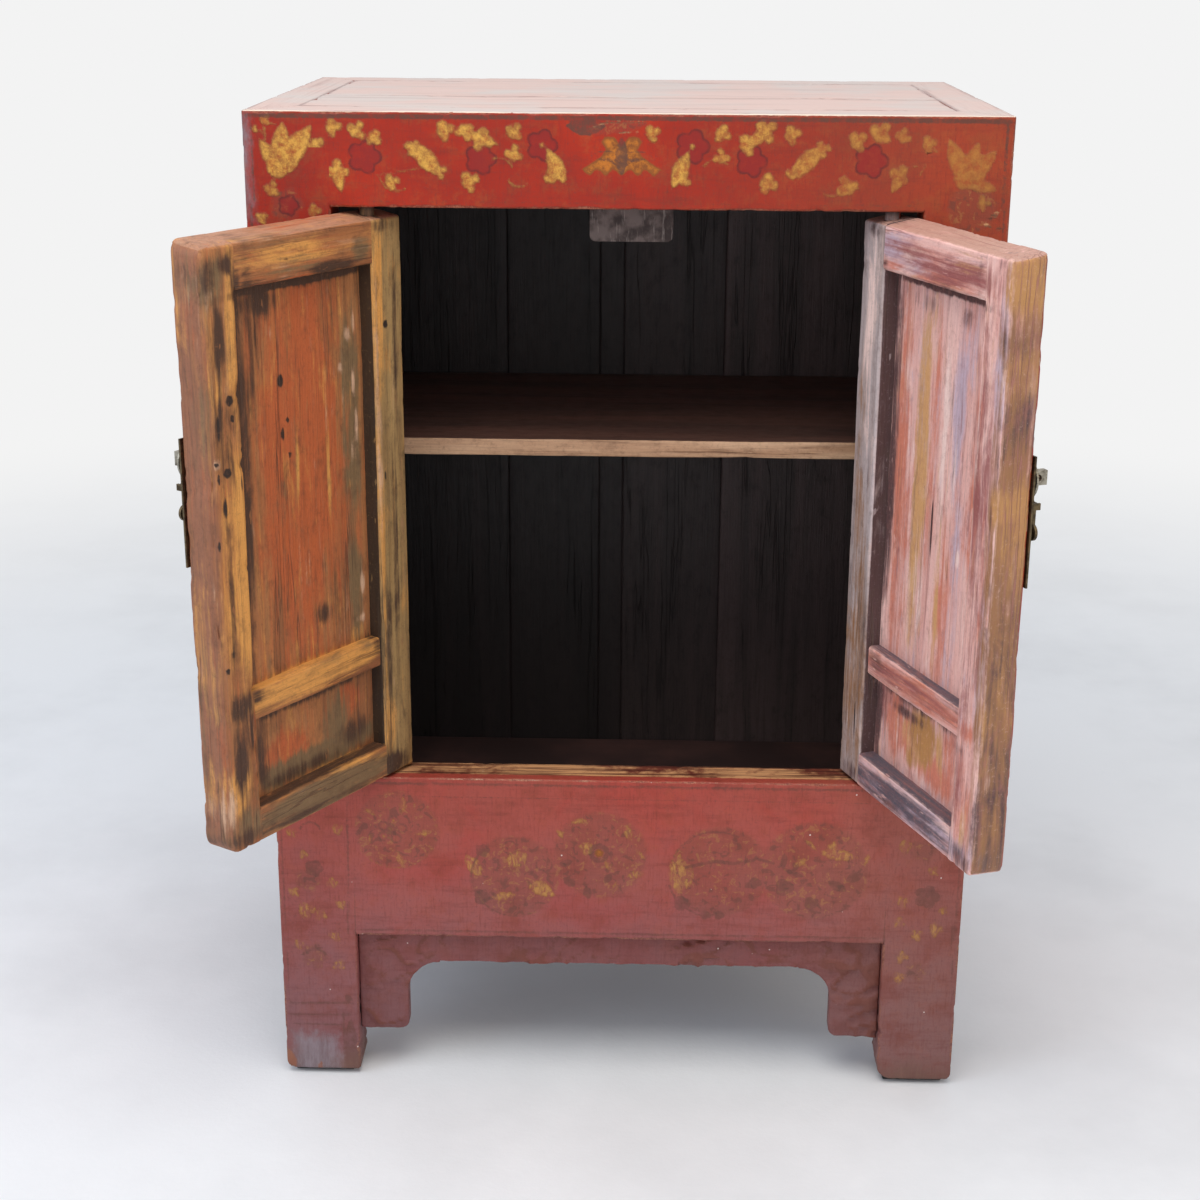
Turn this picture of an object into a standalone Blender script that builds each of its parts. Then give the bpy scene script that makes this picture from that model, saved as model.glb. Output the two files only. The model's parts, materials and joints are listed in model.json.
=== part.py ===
"""A two-door lacquered cabinet: frame-and-panel carcass, doors on wooden pivots, drop pulls.

Metres, +Z up. The cabinet is laid out with its front face on y = 0, its middle on x = 0 and the
floor on z = 0. At the end everything is moved so that the middle of its footprint is the origin.
The doors stand open, as they rest; each hangs on an empty on its pivot line.
"""
import math

import bmesh
import bpy
from mathutils import Matrix, Vector

# Overall size
WIDTH = 0.600
DEPTH = 0.400
HEIGHT = 0.853

# Gap left between two pieces that touch, bevel of a sawn edge, and how far a Boolean overlaps
FIT = 0.0003
ARRIS = 0.0010
OVERLAP = 0.0020

# Joinery shared by the whole carcass and the doors
TENON_LENGTH = 0.010
TENON_SHOULDER = 0.006
GROOVE_DEPTH = 0.005

# Posts and feet
FRONT_POST_WIDTH = 0.067
FRONT_POST_DEPTH = 0.045
REAR_POST_WIDTH = 0.045
REAR_POST_DEPTH = 0.045
FOOT_CORNER_RADIUS = 0.010
FOOT_PAD_THICKNESS = 0.0045
FOOT_PAD_INSET = 0.007

# Top: mitred frame, two floating boards, one batten underneath
TOP_THICKNESS = 0.028
TOP_FRONT_WIDTH = 0.046
TOP_SIDE_WIDTH = 0.038
TOP_BOARD_THICKNESS = 0.020
TOP_TONGUE_THICKNESS = 0.009
TOP_TONGUE_LENGTH = 0.008
TOP_FRONT_BOARD_WIDTH = 0.115
TOP_BOARD_JOINT = 0.0008
TOP_BATTEN_WIDTH = 0.030
TOP_BATTEN_HEIGHT = 0.018

# Rails under the top
FRIEZE_HEIGHT = 0.0457
TOP_RAIL_HEIGHT = 0.030
REAR_RAIL_DEPTH = 0.033
SIDE_RAIL_WIDTH = 0.034
RAIL_RECESS = 0.0010

# Lower front, from the apron's top edge upwards, and the floor behind it
LEG_HEIGHT = 0.1405
LOWER_PANEL_HEIGHT = 0.1172
LOWER_PANEL_THICKNESS = 0.014
SILL_HEIGHT = 0.0345
SILL_DEPTH = 0.036
FLOOR_RAIL_HEIGHT = 0.023
FLOOR_RAIL_DEPTH = 0.029
FLOOR_THICKNESS = 0.014

# Apron under the lower front panel
APRON_RECESS = 0.010
APRON_THICKNESS = 0.014
APRON_RAIL_HEIGHT = 0.029
BRACKET_WIDTH = 0.044
BRACKET_DROP = 0.069
BRACKET_COVE_RADIUS = 0.029
BRACKET_CORNER_RADIUS = 0.008
BRACKET_TIP = 0.0015

# Side panels, back boards (the last board takes up the rest) and shelf
SIDE_PANEL_RECESS = 0.006
SIDE_PANEL_THICKNESS = 0.010
BACK_BOARD_RECESS = 0.012
BACK_BOARD_THICKNESS = 0.010
BACK_BOARD_WIDTHS = (0.1385, 0.091, 0.023, 0.099)
BACK_BOARD_JOINT = 0.0008
SHELF_HEIGHT = 0.377
SHELF_THICKNESS = 0.015
SHELF_SETBACK = 0.098
BEARER_WIDTH = 0.018
BEARER_HEIGHT = 0.020

# Doors
DOOR_THICKNESS = 0.0285
DOOR_SETBACK = 0.0002
DOOR_LIFT_GAP = 0.0045
DOOR_TOP_SLOPE = 0.005
DOOR_FOOT_GAP = 0.0025
DOOR_HINGE_GAP = 0.0015
DOOR_MEETING_GAP = 0.0025
STILE_WIDTH = 0.037
DOOR_TOP_RAIL = 0.0395
DOOR_BOTTOM_RAIL = 0.029
DOOR_MIDDLE_RAIL = 0.025
DOOR_MIDDLE_RAIL_CENTRE = 0.113
DOOR_MIDDLE_RAIL_SETBACK = 0.004
DOOR_PANEL_RECESS = 0.014
DOOR_PANEL_THICKNESS = 0.009
HINGE_EDGE_RADIUS = 0.012
STILE_CORNER_RADIUS = 0.003
LEFT_DOOR_OPEN = math.radians(122.0)
RIGHT_DOOR_OPEN = math.radians(111.2)

# Wooden pivots turned on the ends of the hinge stiles
LEFT_PIVOT_INSET = 0.0265
RIGHT_PIVOT_INSET = 0.0225
PIVOT_RADIUS = 0.006
PIVOT_CLEARANCE = 0.0004
PIVOT_TOP_GRIP = 0.012
PIVOT_FOOT_GRIP = 0.008
PIVOT_ROOT = 0.0055

# Stop plate behind the frieze
STOP_CLEARANCE = 0.0005
STOP_WIDTH = 0.067
STOP_THICKNESS = 0.0016
STOP_DROP = 0.029
STOP_OVERLAP = 0.022
STOP_OFFSET = 0.004
STOP_CORNER_RADIUS = 0.005

# Lock plate, lock lug and drop pull on each door front
PLATE_WIDTH = 0.042
PLATE_HEIGHT = 0.100
PLATE_THICKNESS = 0.0016
PLATE_EDGE_INSET = 0.0008
PLATE_CENTRE = 0.282
PLATE_CLIP = 0.008
LUG_INSET = 0.0165
LUG_RISE = 0.030
LUG_STEM_RADIUS = 0.004
LUG_STEM_LENGTH = 0.0015
LUG_ROSETTE_RADIUS = 0.0152
LUG_ROSETTE_THICKNESS = 0.0016
LUG_WIDTH = 0.006
LUG_HEIGHT = 0.011
LUG_REACH = 0.0145
LUG_HOLE_RADIUS = 0.0027
PULL_INSET = 0.0095
PULL_RISE = 0.011
PULL_STANDOFF = 0.0056
PULL_PIN_RADIUS = 0.0012
PULL_PIN_CLEARANCE = 0.0004
PULL_BARREL_RADIUS = 0.0027
PULL_BARREL_LENGTH = 0.006
PULL_SIDE_CLEARANCE = 0.0005
PULL_NECK_WIDTH = 0.0042
PULL_THICKNESS = 0.0022
PULL_DROP_RADIUS = 0.0065
PULL_LENGTH = 0.027
EAR_THICKNESS = 0.002
EAR_HEIGHT = 0.005

# Colour, roughness and metallic value of each finish
FINISHES = {
    "red_lacquer": ((0.36, 0.045, 0.030), 0.38, 0.0),
    "worn_top": ((0.42, 0.23, 0.16), 0.45, 0.0),
    "dark_inside": ((0.045, 0.026, 0.018), 0.60, 0.0),
    "shelf_wood": ((0.20, 0.105, 0.050), 0.50, 0.0),
    "ochre_door_wood": ((0.36, 0.16, 0.055), 0.50, 0.0),
    "mauve_door_wood": ((0.36, 0.16, 0.125), 0.55, 0.0),
    "bare_stile_wood": ((0.30, 0.21, 0.105), 0.60, 0.0),
    "aged_brass": ((0.42, 0.30, 0.12), 0.40, 1.0),
    "grey_steel": ((0.36, 0.34, 0.33), 0.45, 1.0),
    "black_rubber": ((0.03, 0.03, 0.03), 0.80, 0.0),
}

# Heights and depths that several pieces share
rail_top = HEIGHT - TOP_THICKNESS - FIT
opening_top = rail_top - FRIEZE_HEIGHT
top_rail_bottom = rail_top - TOP_RAIL_HEIGHT
post_foot = FOOT_PAD_THICKNESS + FIT
lower_panel_top = LEG_HEIGHT + LOWER_PANEL_HEIGHT
sill_bottom = lower_panel_top + FIT
sill_top = sill_bottom + SILL_HEIGHT
floor_rail_top = LEG_HEIGHT + FLOOR_RAIL_HEIGHT
floor_bottom = floor_rail_top + FIT
floor_top = floor_bottom + FLOOR_THICKNESS
shelf_bottom = floor_top + SHELF_HEIGHT
shelf_top = shelf_bottom + SHELF_THICKNESS
half_width = WIDTH / 2
half_opening = half_width - FRONT_POST_WIDTH
half_rear_bay = half_width - REAR_POST_WIDTH
side_panel_outer = half_width - SIDE_PANEL_RECESS
side_panel_inner = side_panel_outer - SIDE_PANEL_THICKNESS
rear_post_front = DEPTH - REAR_POST_DEPTH
back_board_rear = DEPTH - BACK_BOARD_RECESS
back_board_front = back_board_rear - BACK_BOARD_THICKNESS
frieze_depth = DOOR_SETBACK + DOOR_THICKNESS + STOP_CLEARANCE
half_door = DOOR_THICKNESS / 2
door_top = opening_top - DOOR_LIFT_GAP
door_bottom = sill_top + DOOR_FOOT_GAP
pivot_y = DOOR_SETBACK + half_door

for old in list(bpy.data.objects):
    bpy.data.objects.remove(old, do_unlink=True)
parts = bpy.data.collections.new("two_door_cabinet")
cutters = bpy.data.collections.new("cutters")
for group in (parts, cutters):
    bpy.context.scene.collection.children.link(group)


def add_empty(name, location, parent=None, turn=0.0):
    """A frame that pieces hang on: the whole cabinet, a door's pivot line or a pull's pin."""
    empty = bpy.data.objects.new(name, None)
    empty.empty_display_size = 0.05
    parts.objects.link(empty)
    empty.parent = parent
    empty.location = location
    empty.rotation_euler.z = turn
    return empty


cabinet = add_empty("cabinet_frame", (0, 0, 0))


def make_material(name, finish):
    colour, roughness, metallic = FINISHES[finish]
    material = bpy.data.materials.new(name)
    material.use_nodes = True
    shader = material.node_tree.nodes["Principled BSDF"]
    shader.inputs["Base Color"].default_value = (*colour, 1.0)
    shader.inputs["Roughness"].default_value = roughness
    shader.inputs["Metallic"].default_value = metallic
    return material


def add_piece(name, shape, finish, location, parent=cabinet):
    """Turns a finished bmesh into a named piece with its own material."""
    mesh = bpy.data.meshes.new(name)
    shape.to_mesh(mesh)
    shape.free()
    piece = bpy.data.objects.new(name, mesh)
    mesh.materials.append(make_material(name + "_" + finish, finish))
    parts.objects.link(piece)
    piece.parent = parent
    piece.location = location
    return piece


def box_shape(low, high):
    """A box about its own middle, and the place of that middle."""
    size = [b - a for a, b in zip(low, high)]
    shape = bmesh.new()
    bmesh.ops.create_cube(shape, size=1.0, matrix=Matrix.Diagonal((*size, 1.0)))
    return shape, [(a + b) / 2 for a, b in zip(low, high)]


def soften(piece, width=ARRIS):
    """The small bevel that a plane leaves along every sharp edge."""
    bevel = piece.modifiers.new("arris", "BEVEL")
    bevel.width = width
    bevel.segments = 1
    bevel.limit_method = "ANGLE"
    return piece


def board(name, low, high, finish, parent=cabinet):
    shape, middle = box_shape(low, high)
    return soften(add_piece(name, shape, finish, middle, parent))


def round_edges(shape, chosen, radius, segments=5):
    bmesh.ops.bevel(shape, geom=chosen, offset=radius, segments=segments, profile=0.5,
                    affect="EDGES", material=-1)


def slope_top(shape, drop):
    """Lowers the inner top edge of a door piece, so that its top runs off towards the inside."""
    for vert in shape.verts:
        if vert.co.z > 0 and vert.co.y > 0:
            vert.co.z -= drop


def rail(name, low, high, axis, finish, parent=cabinet, top_slope=0.0):
    """A box with a tenon on each end along the given axis (0 is x, 1 is y)."""
    shape, middle = box_shape(low, high)
    slope_top(shape, top_slope)
    round_edges(shape, list(shape.edges), ARRIS, 1)
    for end in [face for face in shape.faces if abs(face.normal[axis]) > 0.99]:
        out = end.normal.copy()
        bmesh.ops.inset_individual(shape, faces=[end], thickness=TENON_SHOULDER - ARRIS, use_even_offset=True)
        tip = bmesh.ops.extrude_discrete_faces(shape, faces=[end])["faces"][0]
        bmesh.ops.translate(shape, verts=tip.verts, vec=out * TENON_LENGTH)
    return add_piece(name, shape, finish, middle, parent)


def tenon_slot(low, high, axis, end):
    """The mortise for the tenon on one end (-1 or 1) of a rail, with its clearance."""
    low, high = list(low), list(high)
    for other in range(3):
        low[other] += TENON_SHOULDER - FIT
        high[other] -= TENON_SHOULDER - FIT
    tip = TENON_LENGTH + FIT
    if end < 0:
        face = low[axis] - TENON_SHOULDER + FIT
        low[axis], high[axis] = face - tip, face + OVERLAP
    else:
        face = high[axis] + TENON_SHOULDER - FIT
        low[axis], high[axis] = face - OVERLAP, face + tip
    return low, high


def grown(low, high, by=FIT):
    return [v - by for v in low], [v + by for v in high]


def as_tool(tool):
    """Marks a helper solid as a tool for Booleans, not a piece."""
    tool.display_type = "WIRE"
    tool.hide_render = True
    parts.objects.unlink(tool)
    cutters.objects.link(tool)
    return tool


def tool_box(name, low, high, parent=cabinet):
    shape, middle = box_shape(low, high)
    return as_tool(add_piece(name, shape, "grey_steel", middle, parent))


def round_shape(radius, length, axis, sides=24):
    """A cylinder about its own middle, along x, y or z."""
    turn = {0: Matrix.Rotation(math.pi / 2, 4, "Y"), 1: Matrix.Rotation(math.pi / 2, 4, "X"), 2: Matrix()}
    shape = bmesh.new()
    bmesh.ops.create_cone(shape, cap_ends=True, segments=sides, radius1=radius, radius2=radius,
                          depth=length, matrix=turn[axis])
    return shape


def tool_round(name, middle, radius, length, axis, parent=cabinet, sides=24):
    return as_tool(add_piece(name, round_shape(radius, length, axis, sides), "grey_steel", middle, parent))


def boolean(piece, tool, operation):
    step = piece.modifiers.new(operation.lower() + "_" + tool.name, "BOOLEAN")
    step.operation = operation
    step.solver = "EXACT"
    step.object = tool


def cut(piece, *tools):
    for tool in tools:
        boolean(piece, tool, "DIFFERENCE")


def join(piece, *tools):
    for tool in tools:
        boolean(piece, tool, "UNION")


def mortise(piece, rail_low, rail_high, axis, end):
    cut(piece, tool_box(piece.name + "_mortise", *tenon_slot(rail_low, rail_high, axis, end),
                        parent=piece.parent))


def edges_where(shape, test):
    return [edge for edge in shape.edges if all(test(v.co) for v in edge.verts)]


# Places of the rails, which the posts' mortises share
front_bay = half_opening - FIT
rear_bay = half_rear_bay - FIT
side_bay = (FRONT_POST_DEPTH + FIT, rear_post_front - FIT)
side_rail_x = (half_width - RAIL_RECESS - SIDE_RAIL_WIDTH, half_width - RAIL_RECESS)
rear_rail_y = (DEPTH - RAIL_RECESS - REAR_RAIL_DEPTH, DEPTH - RAIL_RECESS)
floor_rail_y = (LOWER_PANEL_THICKNESS + FIT, LOWER_PANEL_THICKNESS + FIT + FLOOR_RAIL_DEPTH)

frieze_box = ((-front_bay, 0, opening_top), (front_bay, frieze_depth, rail_top))
sill_box = ((-front_bay, 0, sill_bottom), (front_bay, SILL_DEPTH, sill_top))
front_floor_box = ((-front_bay, floor_rail_y[0], LEG_HEIGHT), (front_bay, floor_rail_y[1], floor_rail_top))
rear_top_box = ((-rear_bay, rear_rail_y[0], top_rail_bottom), (rear_bay, rear_rail_y[1], rail_top))
rear_floor_box = ((-rear_bay, rear_rail_y[0], LEG_HEIGHT), (rear_bay, rear_rail_y[1], floor_rail_top))


def side_box(side, bottom, top):
    x = sorted((side * side_rail_x[0], side * side_rail_x[1]))
    return (x[0], side_bay[0], bottom), (x[1], side_bay[1], top)


def side_panel_box(side):
    x = sorted((side * side_panel_inner, side * side_panel_outer))
    reach = GROOVE_DEPTH - FIT
    low = (x[0], FRONT_POST_DEPTH - reach, floor_rail_top - reach)
    return low, (x[1], rear_post_front + reach, top_rail_bottom + reach)


reach = GROOVE_DEPTH - FIT
back_low = (-half_rear_bay - reach, back_board_front, floor_rail_top - reach)
back_high = (half_rear_bay + reach, back_board_rear, top_rail_bottom + reach)
back_groove = tool_box("back_groove", *grown(back_low, back_high))

# Posts: the front pair is wide, with a rounded inner corner at the foot
for side, word in ((-1, "left"), (1, "right")):
    panel_groove = tool_box(word + "_panel_groove", *grown(*side_panel_box(side)))
    side_rails = (side_box(side, top_rail_bottom, rail_top), side_box(side, LEG_HEIGHT, floor_rail_top))

    x = sorted((side * half_opening, side * half_width))
    shape, middle = box_shape((x[0], 0, post_foot), (x[1], FRONT_POST_DEPTH, rail_top))
    foot = edges_where(shape, lambda co: co.z < 0 and co.x * side < 0)
    round_edges(shape, foot, FOOT_CORNER_RADIUS)
    post = soften(add_piece("front_" + word + "_post", shape, "red_lacquer", middle))
    cut(post, panel_groove)
    for box in (frieze_box, sill_box, front_floor_box):
        mortise(post, *box, 0, side)
    for box in side_rails:
        mortise(post, *box, 1, -1)

    x = sorted((side * half_rear_bay, side * half_width))
    post = board("rear_" + word + "_post", (x[0], rear_post_front, post_foot), (x[1], DEPTH, rail_top),
                 "red_lacquer")
    cut(post, panel_groove, back_groove)
    for box in (rear_top_box, rear_floor_box):
        mortise(post, *box, 0, side)
    for box in side_rails:
        mortise(post, *box, 1, 1)

    # Rails between the posts on this side, grooved for the side panel
    for name, box in zip(("top", "floor"), side_rails):
        cut(rail(word + "_" + name + "_rail", *box, 1, "red_lacquer"), panel_groove)
    board(word + "_side_panel", *side_panel_box(side), "red_lacquer")

    # Foot pads
    for row, width, y in (("front", FRONT_POST_WIDTH, (0, FRONT_POST_DEPTH)),
                          ("rear", REAR_POST_WIDTH, (rear_post_front, DEPTH))):
        x = sorted((side * (half_width - FOOT_PAD_INSET), side * (half_width - width + FOOT_PAD_INSET)))
        board(row + "_" + word + "_foot_pad", (x[0], y[0] + FOOT_PAD_INSET, 0),
              (x[1], y[1] - FOOT_PAD_INSET, FOOT_PAD_THICKNESS), "black_rubber")

    # Shelf bearer along the side panel
    x = sorted((side * (side_panel_inner - FIT), side * (side_panel_inner - FIT - BEARER_WIDTH)))
    board(word + "_shelf_bearer", (x[0], side_bay[0], shelf_bottom - FIT - BEARER_HEIGHT),
          (x[1], side_bay[1], shelf_bottom - FIT), "dark_inside")

# Front and rear rails; frieze and sill hold the door pivots
frieze_rail = rail("frieze_rail", *frieze_box, 0, "red_lacquer")
sill_rail = rail("sill_rail", *sill_box, 0, "red_lacquer")
rail("front_floor_rail", *front_floor_box, 0, "dark_inside")
for name, box in (("rear_top_rail", rear_top_box), ("rear_floor_rail", rear_floor_box)):
    cut(rail(name, *box, 0, "red_lacquer"), back_groove)
socket_depth = PIVOT_TOP_GRIP + DOOR_LIFT_GAP
socket_radius = PIVOT_RADIUS + PIVOT_CLEARANCE
for side, word, inset in ((-1, "left", LEFT_PIVOT_INSET), (1, "right", RIGHT_PIVOT_INSET)):
    pivot_x = side * (half_opening - inset)
    top_length = socket_depth + OVERLAP
    top_middle = (pivot_x, pivot_y, opening_top - OVERLAP + top_length / 2)
    cut(frieze_rail, tool_round(word + "_top_socket", top_middle, socket_radius, top_length, 2))
    foot_length = PIVOT_FOOT_GRIP + FIT + OVERLAP
    foot_middle = (pivot_x, pivot_y, sill_top + OVERLAP - foot_length / 2)
    cut(sill_rail, tool_round(word + "_foot_socket", foot_middle, socket_radius, foot_length, 2))

# Lower front panel, and the apron that hangs under it with a bracket at each post
board("lower_front_panel", (-front_bay, 0, LEG_HEIGHT), (front_bay, LOWER_PANEL_THICKNESS, lower_panel_top),
      "red_lacquer")
apron_y = (APRON_RECESS, APRON_RECESS + APRON_THICKNESS)
apron_top = LEG_HEIGHT - FIT
bracket_top = apron_top - APRON_RAIL_HEIGHT - FIT
board("apron_rail", (-front_bay, apron_y[0], apron_top - APRON_RAIL_HEIGHT),
      (front_bay, apron_y[1], apron_top), "red_lacquer")


def arc(centre, radius, start, stop, steps):
    """Points on a round stretch of an outline, in the plane of the front."""
    angles = [math.radians(start + (stop - start) * i / steps) for i in range(steps + 1)]
    return [(centre[0] + radius * math.cos(a), centre[1] + radius * math.sin(a)) for a in angles]


def bracket_outline():
    """Left bracket, from its top corner at the post round to the tip of its cove."""
    post_x = -front_bay
    side_x = -half_opening + BRACKET_WIDTH
    foot_z = bracket_top - BRACKET_DROP
    corner = (side_x - BRACKET_CORNER_RADIUS, foot_z + BRACKET_CORNER_RADIUS)
    cove = (side_x + BRACKET_COVE_RADIUS, bracket_top - BRACKET_TIP - BRACKET_COVE_RADIUS)
    points = [(post_x, bracket_top), (post_x, foot_z)]
    points += arc(corner, BRACKET_CORNER_RADIUS, -90, 0, 5)
    points += arc(cove, BRACKET_COVE_RADIUS, 180, 90, 8)
    points.append((cove[0], bracket_top))
    return points


for side, word in ((-1, "left"), (1, "right")):
    curve = bpy.data.curves.new(word + "_apron_bracket", "CURVE")
    curve.dimensions = "2D"
    curve.fill_mode = "BOTH"
    curve.extrude = APRON_THICKNESS / 2
    points = bracket_outline()
    spline = curve.splines.new("POLY")
    spline.points.add(len(points) - 1)
    for point, (x, z) in zip(spline.points, points):
        point.co = (-side * x, z, 0, 1)
    spline.use_cyclic_u = True
    curve.materials.append(make_material(word + "_apron_bracket_red_lacquer", "red_lacquer"))
    bracket = bpy.data.objects.new(word + "_apron_bracket", curve)
    parts.objects.link(bracket)
    bracket.parent = cabinet
    bracket.location.y = (apron_y[0] + apron_y[1]) / 2
    bracket.rotation_euler.x = math.pi / 2

# Floor board and shelf, notched round the posts
post_tools = {}
for row, inner, y in (("front", half_opening, (0, FRONT_POST_DEPTH)),
                      ("rear", half_rear_bay, (rear_post_front, DEPTH))):
    for side, word in ((-1, "left"), (1, "right")):
        x = sorted((side * inner, side * half_width))
        low, high = grown((x[0], y[0], post_foot), (x[1], y[1], rail_top))
        post_tools[row, word] = tool_box(row + "_" + word + "_notch", low, high)
inner_x = side_panel_inner - FIT
floor_board = board("floor_board", (-inner_x, LOWER_PANEL_THICKNESS + FIT, floor_bottom),
                    (inner_x, back_board_front - FIT, floor_top), "dark_inside")
cut(floor_board, *post_tools.values())
shelf = board("shelf_board", (-inner_x, SHELF_SETBACK, shelf_bottom),
              (inner_x, back_board_front - FIT, shelf_top), "shelf_wood")
cut(shelf, post_tools["rear", "left"], post_tools["rear", "right"])

# Back boards, side by side in the grooves of the rear posts and rails
edge = back_low[0]
for index in range(len(BACK_BOARD_WIDTHS) + 1):
    last = index == len(BACK_BOARD_WIDTHS)
    stop = back_high[0] if last else edge + BACK_BOARD_WIDTHS[index]
    board("back_board_" + str(index + 1), (edge, back_low[1], back_low[2]),
          (stop, back_high[1], back_high[2]), "dark_inside")
    edge = stop + BACK_BOARD_JOINT

# Top: mitred frame, grooved all round for the boards' tongues
frame_bottom = HEIGHT - TOP_THICKNESS
board_bottom = HEIGHT - TOP_BOARD_THICKNESS
field_x = half_width - TOP_SIDE_WIDTH
field_y = (TOP_FRONT_WIDTH, DEPTH - TOP_FRONT_WIDTH)
tongue_low = (-field_x - TOP_TONGUE_LENGTH, field_y[0] - TOP_TONGUE_LENGTH, board_bottom)
tongue_top = board_bottom + TOP_TONGUE_THICKNESS
tongue_high = (field_x + TOP_TONGUE_LENGTH, field_y[1] + TOP_TONGUE_LENGTH, tongue_top)
top_groove = tool_box("top_groove", *grown(tongue_low, tongue_high))


def mitred(name, low, high, axis, inner_sign, inner_length):
    """A frame member along x or y, whose inner edge is shorter by the two mitres."""
    shape, middle = box_shape(low, high)
    across = 1 - axis
    inner = [v for v in shape.verts if v.co[across] * inner_sign > 0]
    factor = [1.0, 1.0, 1.0]
    factor[axis] = inner_length / (high[axis] - low[axis])
    bmesh.ops.scale(shape, vec=factor, verts=inner)
    member = soften(add_piece(name, shape, "worn_top", middle))
    cut(member, top_groove)
    return member


for word, y, inner_sign in (("front", (0, TOP_FRONT_WIDTH), 1),
                            ("rear", (DEPTH - TOP_FRONT_WIDTH, DEPTH), -1)):
    end = half_width - 2 * FIT
    mitred("top_frame_" + word, (-end, y[0], frame_bottom), (end, y[1], HEIGHT), 0, inner_sign,
           2 * (field_x - 2 * FIT))
for word, side in (("left", -1), ("right", 1)):
    x = sorted((side * field_x, side * half_width))
    mitred("top_frame_" + word, (x[0], 0, frame_bottom), (x[1], DEPTH, HEIGHT), 1, -side,
           field_y[1] - field_y[0])

front_edge = field_y[0] + TOP_FRONT_BOARD_WIDTH
rear_edge = front_edge + TOP_BOARD_JOINT
for word, y, tongue_y in (("front", (field_y[0] + FIT, front_edge), (tongue_low[1], front_edge)),
                          ("rear", (rear_edge, field_y[1] - FIT), (rear_edge, tongue_high[1]))):
    top_board = board("top_board_" + word, (-field_x + FIT, y[0], board_bottom),
                      (field_x - FIT, y[1], HEIGHT), "worn_top")
    join(top_board, tool_box(word + "_board_tongue", (tongue_low[0], tongue_y[0], board_bottom + FIT),
                             (tongue_high[0], tongue_y[1], tongue_high[2])))
board("top_batten", (-TOP_BATTEN_WIDTH / 2, field_y[0] + FIT, board_bottom - FIT - TOP_BATTEN_HEIGHT),
      (TOP_BATTEN_WIDTH / 2, field_y[1] - FIT, board_bottom - FIT), "dark_inside")

# Stop plate: hangs below the frieze, behind the closed doors
shape, middle = box_shape(
    (STOP_OFFSET - STOP_WIDTH / 2, frieze_depth + FIT, opening_top - STOP_DROP),
    (STOP_OFFSET + STOP_WIDTH / 2, frieze_depth + FIT + STOP_THICKNESS, opening_top + STOP_OVERLAP))
low_corners = [edge for edge in edges_where(shape, lambda co: co.z < 0)
               if abs((edge.verts[0].co - edge.verts[1].co).y) > STOP_THICKNESS / 2]
round_edges(shape, low_corners, STOP_CORNER_RADIUS, 4)
add_piece("door_stop_plate", shape, "grey_steel", middle)


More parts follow.
